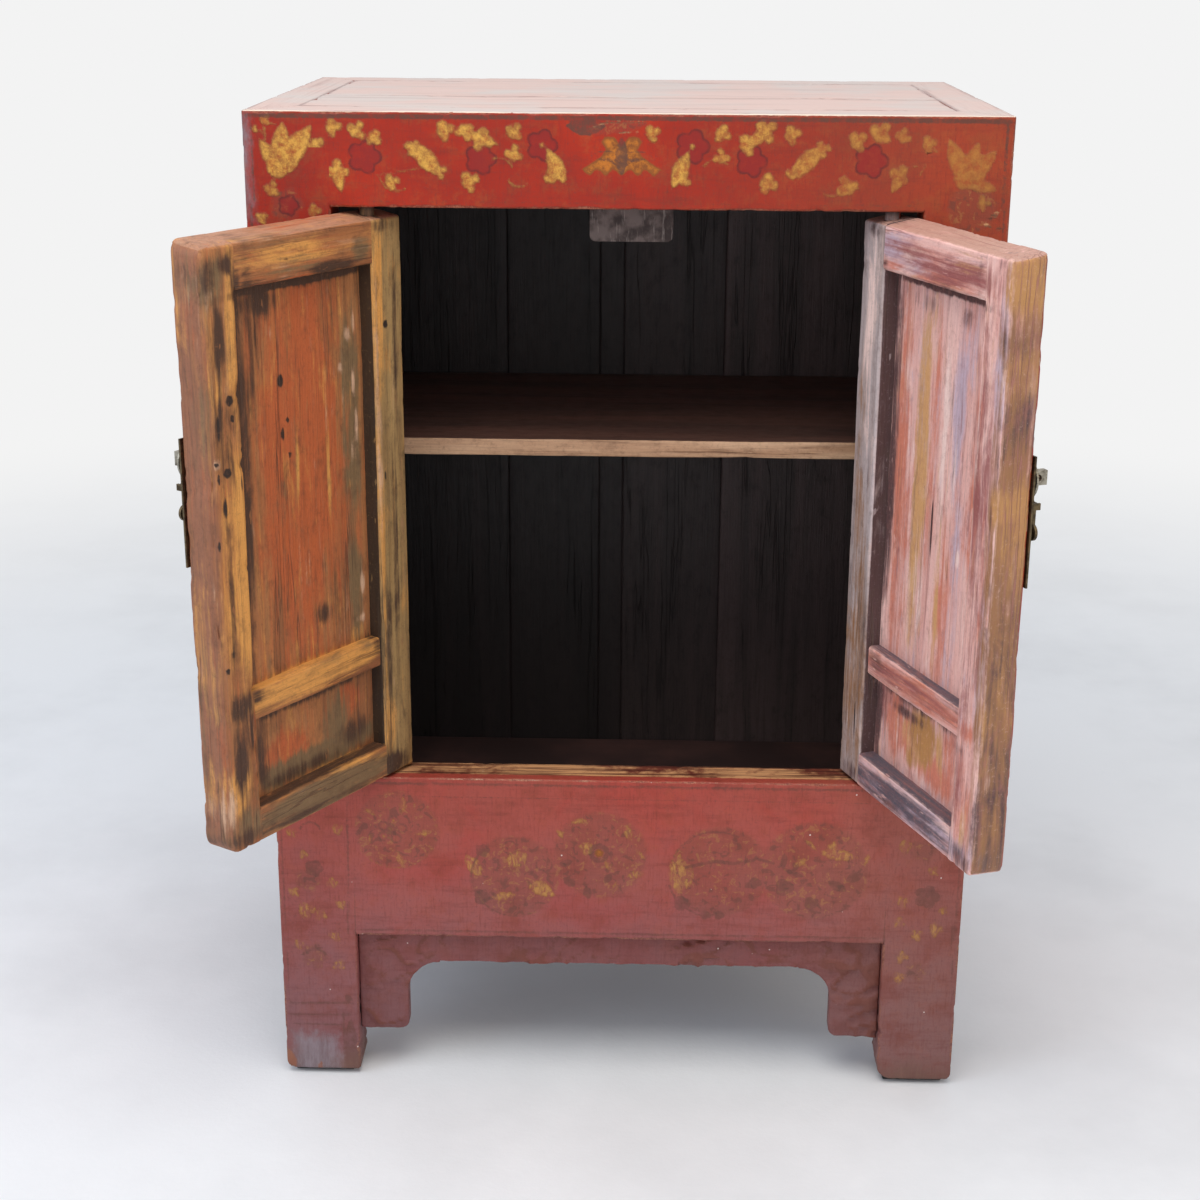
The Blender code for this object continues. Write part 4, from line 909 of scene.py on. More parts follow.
SIDE_CELL = (0.0060, 0.0070, 0.0070)
SIDE_ARRIS = 0.0015
for side, turn in (("left", -1.0), ("right", 1.0)):
    for part in ("top_rail", "floor_rail", "side_panel"):
        node = f"{side}_{part}"
        low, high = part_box(node)
        if part != "side_panel":
            low.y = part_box(f"front_{side}_post")[1].y
            high.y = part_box(f"rear_{side}_post")[0].y
        if part == "top_rail":
            high.z = TOP_UNDERSIDE
        covered = [("-y", *EVERYWHERE), ("+y", *EVERYWHERE)]
        bm, points, edge = worn_board(low, high, SIDE_CELL, SIDE_ARRIS, POST_RIPPLE, POST_CHIP, 8, covered)
        bm.normal_update()
        for face in bm.faces:
            face.material_index = 1 if face.normal.x * turn < -FACES_THAT_WAY else 0
        piece = set_up(bm, node + "_worn", [painted_lacquer, dark_inside], "carcass", "red_lacquer", node)
        note(piece, "edge", edge)
        paint_front(piece, points, [])

# Inside and back: floor, shelf, bearers and thin back boards, stained almost black inside and
# left brown outside, where the rails over and under the boards are lacquered. The boards sit in
# grooves and have opened a little at their joints; those to the right are painted lighter, as
# painted light from the left. The shelf top is a lighter brown, partly a painted sheen.

coat_nodes(dark_inside, "front_floor_rail", "left_shelf_bearer", "right_shelf_bearer", "top_batten")
FLOOR_DARK = shade(72, 53, 51)
FLOOR_BROWN = shade(104, 73, 68)
coat_nodes(black_stain("brown_floor_wood", FLOOR_DARK, FLOOR_BROWN, (4.0, 60.0, 60.0)), "floor_board")


def old_wood(name, light, middle, dark, shine, stains=None):
    """Bare old wood with grain along the piece's own first axis. Each stain is a colour and how much
    of it turns up everywhere; more of it shows where the piece notes it, and on the doors some notes lay
    painted shade."""
    wood = Finish(name)
    place = wood.noted("grain", "Vector")
    bands = wood.cloud(wood.stretch(place, 2.0, 34.0, 34.0), 1.0, 6.0, 0.6, 0.8)
    lines = wood.cloud(wood.stretch(place, 6.0, 200.0, 200.0), 1.0, 5.0, 0.65, 0.4)
    fibre = wood.cloud(wood.stretch(place, 40.0, 700.0, 700.0), 1.0, 3.0)
    mottle = wood.cloud(wood.stretch(place, 60.0, 95.0, 95.0), 1.0, 6.0, 0.7)
    colour = wood.tint(wood.span(bands, 0.34, 0.66), light, middle)
    for count, (channel, (stain, everywhere)) in enumerate((stains or {}).items()):
        noted = wood.noted(channel)
        if channel == "knot":
            amount = wood.span(noted, 0.3, 0.6)
        else:
            apart = 3.1 * (count + 1)
            drift = wood.cloud(wood.stretch(place, 15.0, 44.0, 44.0, apart), 1.0, 7.0, 0.68, 0.6)
            streak = wood.cloud(wood.stretch(place, 9.0, 230.0, 230.0, apart), 1.0, 4.0, 0.6)
            drift = wood.sum(wood.less(drift, 0.5), wood.times(wood.less(streak, 0.5), 0.7))
            amount = wood.sum(wood.sum(noted, everywhere), wood.times(drift, 2.0))
            amount = wood.span(amount, 0.2, 0.95)
        colour = wood.tint(amount, colour, stain)
    rim = wood.sum(wood.noted("edge"), wood.times(wood.less(mottle, 0.5), 9.0))
    rim = wood.less(1.0, wood.span(rim, 0.0, 2.2))
    colour = wood.tint(wood.times(rim, 0.3), colour, light)
    grit = wood.cloud(place, 340.0, 5.0, 0.8)
    colour = wood.tint(wood.times(wood.span(grit, 0.5, 0.74), 0.4), colour, dark)
    colour = wood.tint(wood.times(wood.less(1.0, wood.span(grit, 0.28, 0.46)), 0.3), colour, light)
    split = wood.cloud(wood.stretch(place, 4.0, 120.0, 120.0, 5.0), 1.0, 3.0, 0.5, 0.5)
    split = wood.less(1.0, wood.span(wood.sum(wood.less(split, 0.5), 0.0, "ABSOLUTE"), 0.0, 0.022))
    split = wood.times(split, wood.span(bands, 0.5, 0.6))
    colour = wood.tint(wood.times(split, 0.7), colour, dark)
    fleck = wood.cloud(wood.stretch(place, 55.0, 210.0, 210.0, 7.0), 1.0, 2.0, 0.5)
    fleck = wood.times(wood.span(fleck, 0.68, 0.74), wood.less(0.5, wood.times(wood.noted("rim"), 0.5)))
    colour = wood.tint(fleck, colour, light)
    colour = wood.tint(wood.times(wood.span(mottle, 0.5, 0.76), 0.5), colour, dark)
    colour = wood.tint(wood.times(wood.span(lines, 0.52, 0.74), 0.4), colour, dark)
    colour = wood.tint(wood.times(wood.span(fibre, 0.45, 0.8), 0.25), colour, dark)
    relief = wood.sum(wood.times(lines, 0.5), wood.times(fibre, 0.3))
    relief = wood.less(wood.sum(relief, wood.times(mottle, 0.5)), wood.times(split, 0.4))
    rough = wood.sum(shine, wood.times(mottle, 0.3))
    return wood.dress(colour, rough, relief, 0.0010)


BOARD_COLOURS = ((48, 39, 38), (36, 30, 29), (22, 18, 18))
# Boards further right are painted lighter: painted light falling on the back from the left.
BOARD_PAINTED_LIGHT_TONES = (1.0, 0.95, 1.05, 1.55, 2.0)
board_woods_painted_light = []
for count, tone in enumerate(BOARD_PAINTED_LIGHT_TONES, 1):
    light, middle, dark = [shade(*(tone * part for part in colour)) for colour in BOARD_COLOURS]
    board_woods_painted_light.append(old_wood(f"board_wood_painted_light_{count}", light, middle, dark, 0.42))
back_wood = old_wood("brown_back_wood", shade(132, 100, 74), shade(108, 80, 58), shade(66, 48, 36), 0.6)
shelf_edge_wood = old_wood(
    "shelf_edge_wood", shade(222, 182, 146), shade(176, 132, 98), shade(100, 66, 44), 0.45)
# The shelf top's brown is partly a painted sheen: it is lightened to stand in for the sheen on it.
shelf_top_wood_and_sheen = old_wood("shelf_top_wood_and_sheen", shade(110, 76, 65), shade(86, 60, 52), shade(51, 38, 34), 0.35)
BOARD_CELL = (0.0080, 0.0100, 0.0080)
BOARD_RIPPLE = 0.0004
BOARD_CHIP = 0.0015
SEAM_ROUND = 0.0024
RAIL_ROUND = 0.0016
SHELF_CELL = (0.006, 0.008, 0.003)
SHELF_ROUND = 0.0018
SEAM_LAP = 0.0010
GRAIN_STEP = 0.37


def plank(node, low, high, materials, slot, along, seed, radius, shown, cell=BOARD_CELL, chip=BOARD_CHIP):
    """A plain inside board, with its grain along one axis and its shown face in a second finish."""
    bm, points, edge = worn_board(low, high, cell, radius, BOARD_RIPPLE, chip, seed)
    for face in bm.faces:
        face.material_index = 1 if face.normal.dot(Vector(shown)) > FACES_THAT_WAY else 0
    piece = set_up(bm, node + "_aged", materials, "carcass", slot, node)
    order = {"x": (0, 1, 2), "y": (1, 0, 2), "z": (2, 0, 1)}[along]
    note(piece, "grain", points[:, order] + GRAIN_STEP * seed)
    note(piece, "edge", edge)
    return piece


for count, board_wood in enumerate(board_woods_painted_light, 1):
    node = f"back_board_{count}"
    low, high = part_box(node)
    low.x -= SEAM_LAP
    high.x += SEAM_LAP
    plank(node, low, high, [board_wood, back_wood], "dark_inside", "z", count,
          SEAM_ROUND, (0, 1, 0), chip=0.0)
for count, node in enumerate(("rear_top_rail", "rear_floor_rail")):
    low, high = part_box(node)
    low.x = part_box("rear_left_post")[1].x
    high.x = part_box("rear_right_post")[0].x
    piece = plank(node, low, high, [board_woods_painted_light[0], painted_lacquer], "red_lacquer", "x", 8 + count,
                  RAIL_ROUND, (0, 1, 0))
    plain = np.zeros(len(piece.data.vertices))
    paint(piece, plain, plain, False, [])
low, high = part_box("shelf_board")
plank("shelf_board", low, high, [shelf_top_wood_and_sheen, shelf_edge_wood], "shelf_wood", "x", 7,
      SHELF_ROUND, (0, -1, 0), SHELF_CELL)

# Top: a mitred frame round two floating boards, lacquered once and now worn to a dull pink,
# with open joints. Its front edge carries the upper half of the painted frieze.

TOP_PINK = shade(206, 174, 164)
TOP_GREY = shade(198, 184, 178)
TOP_BROWN = shade(146, 100, 92)
TOP_STAIN = shade(112, 78, 78)
TOP_CREAM = shade(238, 222, 202)


def top_finish(name, along):
    """The worn pink top with grain along x or y, brown in its cracks."""
    worn = Finish(name)
    here = worn.here()
    run = (4.0, 75.0, 75.0) if along == "x" else (75.0, 4.0, 75.0)
    streak = worn.cloud(worn.stretch(here, *run), 1.0, 6.0, 0.65)
    thread = worn.cloud(worn.stretch(here, *(5.0 * part if part > 9.0 else part for part in run)), 1.0, 3.0)
    blotch = worn.cloud(here, 11.0, 5.0)
    tone = worn.tint(worn.span(blotch, 0.4, 0.65), TOP_PINK, TOP_GREY)
    tone = worn.tint(worn.times(worn.span(streak, 0.5, 0.76), 0.6), tone, TOP_BROWN)
    tone = worn.tint(worn.times(worn.span(thread, 0.52, 0.8), 0.4), tone, TOP_BROWN)
    rub = worn.sum(worn.noted("edge"), worn.times(worn.less(blotch, 0.5), 10.0))
    tone = worn.tint(worn.times(worn.less(1.0, worn.span(rub, 0.4, 3.5)), 0.5), tone, TOP_STAIN)
    cream = worn.times(worn.noted("chip"), worn.span(streak, 0.3, 0.6))
    tone = worn.tint(worn.times(worn.span(cream, 0.2, 1.8), 0.7), tone, TOP_CREAM)
    relief = worn.sum(worn.times(streak, 0.6), worn.times(thread, 0.4))
    return worn.dress(tone, worn.sum(0.3, worn.times(blotch, 0.25)), relief, 0.0007)


top_along_x = top_finish("worn_pink_top", "x")
top_along_y = top_finish("worn_pink_top_ends", "y")
MITRE_GAP = 0.0001
TOP_ARRIS = 0.0013
TOP_CHIP = 0.0014
TOP_BOARD_CELL = (0.005, 0.005, 0.010)
TOP_BOARD_ARRIS = 0.0014
TOP_BOARD_RIPPLE = 0.0008
TOP_BOARD_CHIP = 0.0030
front_low, front_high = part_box("top_frame_front")
rear_low, rear_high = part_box("top_frame_rear")
left_low, left_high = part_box("top_frame_left")
right_low, right_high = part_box("top_frame_right")
top_low = Vector((left_low.x, front_low.y, front_low.z))
top_high = Vector((right_high.x, rear_high.y, front_high.z))
field_low = Vector((left_high.x, front_high.y, 0.0))
field_high = Vector((right_low.x, rear_low.y, 0.0))
members = {
    "front": ((top_low.x, top_low.y), (top_high.x, field_low.y), PAINT_CELL),
    "rear": ((top_low.x, field_high.y), (top_high.x, top_high.y), REAR_CELL),
    "left": ((top_low.x, top_low.y), (field_low.x, top_high.y), REAR_CELL),
    "right": ((field_high.x, top_low.y), (top_high.x, top_high.y), REAR_CELL),
}
for side, (near, far, cell) in members.items():
    low = Vector((*near, top_low.z))
    high = Vector((*far, top_high.z))
    covered = [("-z", *EVERYWHERE)] if side == "front" else []
    bm = worn_board(low, high, cell, TOP_ARRIS, 0.0, TOP_CHIP, 5, covered)[0]
    middle = 0.5 * (low + high)
    for corner_x, field_x in ((top_low.x, field_low.x), (top_high.x, field_high.x)):
        for corner_y, field_y in ((top_low.y, field_low.y), (top_high.y, field_high.y)):
            run = Vector((field_x - corner_x, field_y - corner_y, 0.0))
            across = Vector((-run.y, run.x, 0.0)).normalized()
            start = Vector((corner_x, corner_y, top_low.z))
            if (middle - start).dot(across) > 0.0:
                across = -across
            near_corner = abs(corner_x - middle.x) <= 0.5 * (high.x - low.x) + SAME_PLACE
            if near_corner and abs(corner_y - middle.y) <= 0.5 * (high.y - low.y) + SAME_PLACE:
                cut = bmesh.ops.bisect_plane(
                    bm, geom=bm.verts[:] + bm.edges[:] + bm.faces[:], plane_co=start - MITRE_GAP * across,
                    plane_no=across, clear_outer=True)
                rim = [part for part in cut["geom_cut"] if isinstance(part, bmesh.types.BMEdge)]
                bmesh.ops.edgeloop_fill(bm, edges=rim)
    for face in bm.faces:
        face.material_index = 0 if face.normal.z > FACES_THAT_WAY else 1
    points = points_of(bm)
    grain = top_along_x if side in ("front", "rear") else top_along_y
    piece = set_up(bm, f"top_frame_{side}_worn", [grain, painted_lacquer], "carcass", "worn_top",
                   f"top_frame_{side}")
    edge = arris_distance(points, low, high, covered)
    note(piece, "edge", edge)
    outer = (points[:, 1] < top_low.y + FRONT_SKIN) & (points[:, 2] > high.z - FRONT_SKIN)
    note(piece, "chip", np.where(outer, np.clip(CHIPPED_BAND - edge, 0.0, 3.2), 0.0))
    paint_front(piece, points, frieze_strokes)
for node in ("top_board_front", "top_board_rear"):
    low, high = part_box(node)
    low.x = field_low.x
    high.x = field_high.x
    if node == "top_board_front":
        low.y = field_low.y
    else:
        high.y = field_high.y
    bm, points, edge = worn_board(
        low, high, TOP_BOARD_CELL, TOP_BOARD_ARRIS, TOP_BOARD_RIPPLE, TOP_BOARD_CHIP, 6)
    piece = set_up(bm, node + "_worn", [top_along_x], "carcass", "worn_top", node)
    note(piece, "edge", edge)

# Stop plate: a sheet of grey steel nailed behind the frieze, which the doors close against. It
# is tarnished, with pale upright scrapes.

STEEL = shade(104, 90, 86)
STEEL_DULL = shade(58, 47, 45)
STEEL_SCRAPED = shade(150, 138, 132)
steel = Finish("grey_steel_plate")
here = steel.here()
tarnish = steel.cloud(here, 60.0, 5.0)
scrape = steel.cloud(steel.stretch(here, 420.0, 420.0, 45.0), 1.0, 4.0, 0.6)
plate = steel.tint(steel.span(tarnish, 0.4, 0.65), STEEL, STEEL_DULL)
steel.dress(
    steel.tint(steel.times(steel.span(scrape, 0.56, 0.7), 0.6), plate, STEEL_SCRAPED),
    steel.sum(0.35, steel.times(tarnish, 0.3)), tarnish, 0.0003)
steel.shader.inputs["Metallic"].default_value = 0.6
coat_nodes(steel.material, "door_stop_plate")

# Doors: each a mortised frame of stiles and rails round two thin panels, hung on wooden pivots
# that are cut on the ends of the hinge stile. Only the outside is lacquered: inside, the left
# door is bare orange-brown wood and the right one mauve, lightened by a painted sheen; both are
# stained, knotted and rubbed, with painted shade under their rails, beside their panels and on
# their pivots.

DOOR_CELL = (0.0030, 0.0042, 0.0030)
DOOR_ARRIS = 0.0022
DOOR_RIPPLE = 0.0006
DOOR_CHIP = 0.0022
TOP_SKIN = 0.0008
SIDE_SKIN = 0.0012
REVEAL_SHADE_STARTS = 0.002
STILE = 0.037
TOP_RAIL = 0.0395
MIDDLE_RAIL = 0.025
BOTTOM_RAIL = 0.029
DOOR_FOOT = 0.295
DOOR_TOP = 0.7745
MIDDLE_RAIL_AT = 0.408
MIDDLE_RAIL_BACK = 0.004
PANEL_RECESS = 0.014
PANEL_THICK = 0.009
PANEL_TONGUE = 0.003
TOP_FALL = 0.005
INNER = 0.01425
OUTER = -INNER
HINGE_ROUND = 0.012
FREE_ROUND = 0.007
DOOR_ROUND = 0.003
WORN_BAND = 0.012
WORN_HOLLOW = 0.0026
PIVOT_RADIUS = 0.006
PIVOT_FOOT = 0.2845
PIVOT_HEAD = 0.791
PIVOT_FOOT_ROOT = 0.004
PIVOT_HEAD_ROOT = 0.009
END_MARGIN = 0.001
PANEL_SKIN = 0.002
joints = {joint["name"]: joint for joint in frame["joints"]}

doors = {
    "left": {
        "stands_at": 58.0, "turn": -1.0, "seed": 11,
        "start": -0.0250, "stop": 0.20525, "slot": "ochre_door_wood", "bite": 0.0050,
        "ledges": {"middle_rail": ("warm", 1.4), "bottom_rail": ("dark", 0.7)},
        "wood": (shade(178, 116, 68), shade(144, 88, 52), shade(84, 54, 36)),
        "stile": (shade(172, 138, 88), shade(132, 100, 60), shade(62, 46, 30)),
        # The reveal is painted shade: the knot colour on the stile's face beside the panels.
        "reveal_shade": ("knot", 0.56), "corners": (0.009, 0.012),
        "stile_stains": ("rim", "warm", "pale", "cap", "dark", "knot"),
        "stains": {"rim": (shade(148, 94, 66), 0.0), "cap": (shade(178, 128, 100), 0.0),
                   "rust": (shade(186, 94, 50), 0.15), "warm": (shade(222, 156, 80), 0.15),
                   "cool": (shade(124, 98, 66), 0.15), "pale": (shade(214, 172, 140), 0.0),
                   "dark": (shade(70, 46, 32), 0.14), "knot": (shade(36, 24, 20), 0.0)},
        "marks": {
            "rust": (
                (88, 590, 48, 150, 1.0), (124, 352, 26, 18, 1.1), (44, 372, 16, 14, 1.0),
                (100, 690, 30, 40, 0.8),
            ),
            "warm": (
                (174, 520, 12, 90, 0.9), (190, 560, 8, 120, 0.5), (174, 690, 7, 60, 0.7),
                (190, 345, 12, 20, 1.0), (90, 411, 78, 9, 1.4), (60, 322, 36, 4, 0.8),
                (22, 312, 8, 6, 0.7), (94, 583, 1.6, 26, 1.0), (56, 565, 1.6, 36, 1.0),
                (110, 756, 46, 9, 0.6), (28, 430, 9, 8, 0.6), (31, 560, 4, 8, 0.9), (26, 640, 3, 30, 0.8),
            ),
            "cool": (
                (28, 610, 10, 90, 1.0), (28, 470, 9, 50, 0.8), (194, 745, 12, 20, 0.7),
                (26, 751, 11, 10, 1.0), (90, 309, 95, 13, 1.0), (185, 316, 16, 14, 0.7),
                (100, 745, 40, 6, 0.5), (80, 336, 80, 10, 1.0), (56, 356, 16, 26, 0.7),
            ),
            "pale": (
                (197, 609, 4, 4, 0.9), (30, 680, 3, 5, 0.8), (40, 655, 2, 4, 0.8), (200, 330, 7, 18, 0.7),
                (22, 690, 1.6, 10, 1.0), (24, 640, 1.4, 9, 1.0), (21, 606, 1.8, 14, 1.0),
                (26, 585, 1.3, 8, 0.9), (20, 470, 2.4, 8, 0.9), (24, 440, 6, 4, 0.7),
            ),
            "rim": (
                (206, 540, 9, 240, 0.8),
            ),
            # The rows at z 731 and 391 are painted shadow under the top and middle rails, and the row at d
            # 156 is painted shadow along the free stile; the others are dark stains.
            "dark": (
                (196, 750, 8, 14, 0.9), (178, 757, 6, 8, 0.9), (62, 739, 24, 6, 0.9),
                (90, 731, 80, 4, 1.5), (132, 720, 26, 11, 0.65), (142, 680, 12, 50, 0.5),
                (156, 600, 8, 150, 0.9), (69, 456, 9, 9, 0.7), (188, 372, 8, 30, 0.75),
                (184, 413, 12, 12, 0.9), (162, 416, 7, 7, 0.6), (16, 416, 6, 9, 0.8),
                (37, 343, 16, 12, 0.8), (187, 303, 18, 8, 0.8), (176, 392, 6, 20, 0.7),
                (90, 391, 75, 4, 0.8), (188, 700, 7, 26, 0.75), (188, 500, 4, 60, 0.6),
                (110, 331, 50, 6, 0.6), (152, 360, 8, 30, 0.8), (168, 740, 5, 18, 0.7),
                (90, 300, 90, 4, 0.7), (186, 625, 12, 34, 0.5),
            ),
            "knot": (
                (180, 655, 3.6, 4, 1.0), (178, 641, 2.4, 2.6, 1.0), (193, 636, 1.6, 10, 0.9),
                (186, 601, 4.2, 3.6, 1.0), (198, 609, 3, 2, 0.9), (197, 598, 2, 5, 0.9),
                (191, 575, 2, 10, 0.9), (109, 656, 3.4, 5.4, 0.9), (103, 624, 2, 3, 0.9),
                (109, 614, 2.4, 6, 0.8), (101, 596, 2, 2.6, 0.9), (190, 459, 3.4, 4.4, 0.6),
                (197, 447, 3, 3, 0.8), (200, 547, 2, 5, 0.8), (112, 754, 4, 2.4, 0.55),
                (82, 751, 3, 2.0, 0.5), (126, 640, 13, 0.9, 0.7), (172, 590, 1.4, 8, 0.7),
            ),
        },
        "stile_marks": {
            "warm": (
                (8, 700, 8, 70, 0.7), (9, 520, 3, 130, 0.6), (6, 330, 10, 30, 0.5),
            ),
            "dark": (
                (0, 304, 18, 9, 0.9), (-8, 500, 3, 90, 0.7), (4, 420, 4, 50, 0.7), (0, 768, 16, 6, 0.7),
                (-14, 650, 4, 60, 0.6),
            ),
            "pale": (
                (9, 600, 3, 120, 0.5),
            ),
            "knot": (
                (-2, 685, 2.6, 4, 0.9), (3, 560, 1.6, 5, 0.7),
            ),
        },
    },
    "right": {
        "stands_at": 68.8, "turn": 1.0, "seed": 37,
        "start": -0.0210, "stop": 0.20925, "slot": "mauve_door_wood", "bite": 0.0022,
        "ledges": {"middle_rail": ("slate", 0.9), "bottom_rail": ("slate", 1.4)},
        # The reveal is painted shade: the dark colour on the stile's face beside the panels.
        "reveal_shade": ("dark", 1.1), "corners": (0.006, 0.007),
        "stile_stains": ("rim", "pale", "cap", "dark", "knot"),
        # The right door's wood colours are lightened as a painted sheen over its mauve.
        "wood": (shade(246, 200, 190), shade(226, 168, 158), shade(164, 106, 98)),
        "stile": (shade(196, 180, 180), shade(160, 140, 134), shade(92, 74, 64)),
        "stains": {"rust": (shade(214, 128, 104), 0.13), "warm": (shade(214, 162, 108), 0.08),
                   "cool": (shade(200, 178, 192), 0.14), "pale": (shade(248, 216, 206), 0.16),
                   "wine": (shade(152, 88, 86), 0.0), "rim": (shade(152, 106, 68), 0.0),
                   "honey": (shade(188, 136, 80), 0.0), "cap": (shade(186, 144, 128), 0.0),
                   "slate": (shade(80, 78, 90), 0.0), "dark": (shade(82, 58, 58), 0.04),
                   "knot": (shade(36, 28, 34), 0.0)},
        "marks": {
            "rust": (
                (34, 570, 9, 165, 0.9), (50, 510, 8, 110, 0.6), (86, 610, 7, 110, 0.7),
                (112, 480, 12, 70, 0.6), (100, 409, 90, 9, 0.9), (178, 620, 5, 100, 0.5),
                (56, 368, 26, 30, 0.9), (120, 344, 30, 14, 0.8), (192, 520, 5, 90, 0.5),
                (90, 742, 70, 5, 0.8), (140, 372, 14, 24, 0.7), (186, 345, 12, 40, 0.6),
                (150, 620, 5, 90, 0.5), (100, 752, 60, 12, 0.4),
            ),
            "warm": (
                (66, 585, 9, 130, 1.1), (104, 480, 4, 60, 0.8), (98, 366, 30, 20, 1.0),
                (140, 756, 20, 6, 0.7), (97, 560, 3, 60, 0.4), (190, 325, 4, 24, 0.8),
            ),
            "wine": (
                (100, 409, 95, 8, 0.55), (60, 404, 40, 6, 0.7), (100, 752, 90, 16, 0.75),
                (24, 372, 10, 24, 0.7), (146, 590, 4, 120, 0.5), (36, 520, 4, 60, 0.5),
                (186, 540, 13, 220, 0.65), (180, 360, 9, 40, 0.7),
            ),
            "slate": (
                (90, 309, 95, 12, 1.0),
            ),
            "rim": (
                (201, 540, 6, 250, 0.8),
            ),
            "honey": (
                (209, 752, 9, 22, 0.9), (209, 690, 6, 20, 0.4), (212, 560, 4, 60, 0.6),
                (209, 590, 8, 14, 0.8), (208, 430, 4, 70, 0.4), (210, 330, 5, 40, 0.3),
                (98, 366, 22, 22, 1.0), (80, 344, 12, 10, 0.9),
            ),
            "cool": (
                (122, 650, 9, 70, 0.9), (138, 690, 8, 30, 0.6), (200, 690, 8, 60, 0.7),
                (28, 758, 18, 11, 1.0), (90, 308, 95, 14, 0.7), (200, 470, 6, 80, 0.5),
                (130, 560, 5, 60, 0.6), (60, 745, 30, 8, 0.5),
            ),
            "pale": (
                (133, 529, 3, 8, 1.0), (176, 600, 3, 60, 0.5), (60, 756, 12, 6, 0.5),
                (104, 600, 6, 70, 0.5), (78, 480, 6, 40, 0.5), (150, 480, 8, 40, 0.5),
            ),
            # The rows at z 731 and 736 are painted shadow under the top rail and the row at z 391 is painted
            # shadow under the middle rail; the others are dark stains.
            "dark": (
                (90, 731, 80, 4, 1.5), (20, 590, 7, 160, 1.0), (163, 590, 3, 140, 0.7),
                (60, 716, 22, 8, 0.5), (128, 714, 10, 8, 0.6), (200, 570, 2, 20, 0.7),
                (198, 520, 2, 14, 0.7), (194, 303, 12, 9, 0.7), (205, 640, 3, 60, 0.5),
                (90, 391, 80, 5, 0.7), (20, 360, 8, 34, 1.0), (160, 360, 5, 34, 0.8),
                (70, 378, 26, 5, 0.7), (205, 706, 5, 24, 0.6), (206, 520, 3, 90, 0.5),
                (209, 470, 7, 60, 0.45), (209, 340, 7, 50, 0.55), (210, 648, 6, 22, 0.5),
                (208, 400, 5, 26, 0.5), (90, 736, 80, 2, 0.8), (30, 409, 12, 10, 0.6),
                (90, 300, 90, 6, 0.5),
            ),
            "knot": (
                (91, 543, 0.9, 24, 0.9), (193, 631, 0.7, 10, 0.5),
            ),
        },
        "stile_marks": {
            "rim": (
                (0, 390, 26, 110, 0.7), (-8, 540, 9, 120, 0.6),
            ),
            "dark": (
                (0, 380, 20, 90, 0.2), (8, 560, 3, 120, 0.4), (-14, 470, 3, 90, 0.4),
                (0, 768, 16, 6, 0.4), (0, 303, 20, 8, 0.6),
            ),
            "pale": (
                (-2, 690, 8, 60, 0.7),
            ),
            "knot": (
                (4, 350, 1.2, 20, 0.7),
            ),
        },
    },
}
door_strokes = [
    ("ink", "line", (-15, 305), (-15, 762), 2.0), ("ink", "line", (200, 305), (200, 762), 2.0),
    ("ink", "line", (-15, 762), (200, 762), 2.0), ("ink", "line", (-15, 305), (200, 305), 2.0),
    ("roundel", "blossom", (90, 580), 58, 0), ("gilt", "blossom", (90, 580), 6),
]
door_strokes += [("petal", "blossom", (x, z), radius) for x, z, radius in (
    (90, 580, 24), (58, 680, 15), (124, 486, 15), (90, 362, 14), (-4, 640, 11), (-4, 420, 11),
    (188, 700, 11))]
door_strokes += sprigs(
    (90, 622, 26, 90), (90, 538, 26, -90), (132, 592, 26, 20), (48, 568, 26, 200), (120, 612, 20, 45),
    (60, 548, 20, 225), (122, 548, 20, -45), (58, 612, 20, 135), (84, 690, 22, 20), (34, 668, 18, 200),
    (140, 700, 16, 60), (98, 476, 22, 160), (148, 498, 18, 40), (40, 462, 16, 250), (62, 372, 20, 150),
    (120, 354, 20, -20), (-4, 700, 16, 90), (-4, 560, 16, 80), (-4, 480, 16, 100), (-4, 350, 14, 90),
    (188, 480, 16, 90), (188, 420, 14, 80), (188, 340, 14, 100), (60, 754, 16, 10), (110, 756, 16, 170),
    (20, 752, 14, 30), (160, 752, 14, 150), (40, 310, 13, 20), (90, 308, 13, 160), (140, 310, 13, 10))


def marks_on(local, marks):
    """Notes each stain, and each painted shadow, of a door at the vertices that it covers; a row is d, z,
    half sizes, strength.
    """
    across = 1000.0 * local[:, 0]
    up = 1000.0 * local[:, 2]
    fields = {}
    for channel, rows in marks.items():
        field = np.zeros(len(local))
        for d, z, wide, tall, strength in rows:
            spread = ((across - d) / wide) ** 2 + ((up - z) / tall) ** 2
            field = np.maximum(field, strength * np.exp(-0.7 * spread ** 1.5))
        fields[channel] = field
    return fields


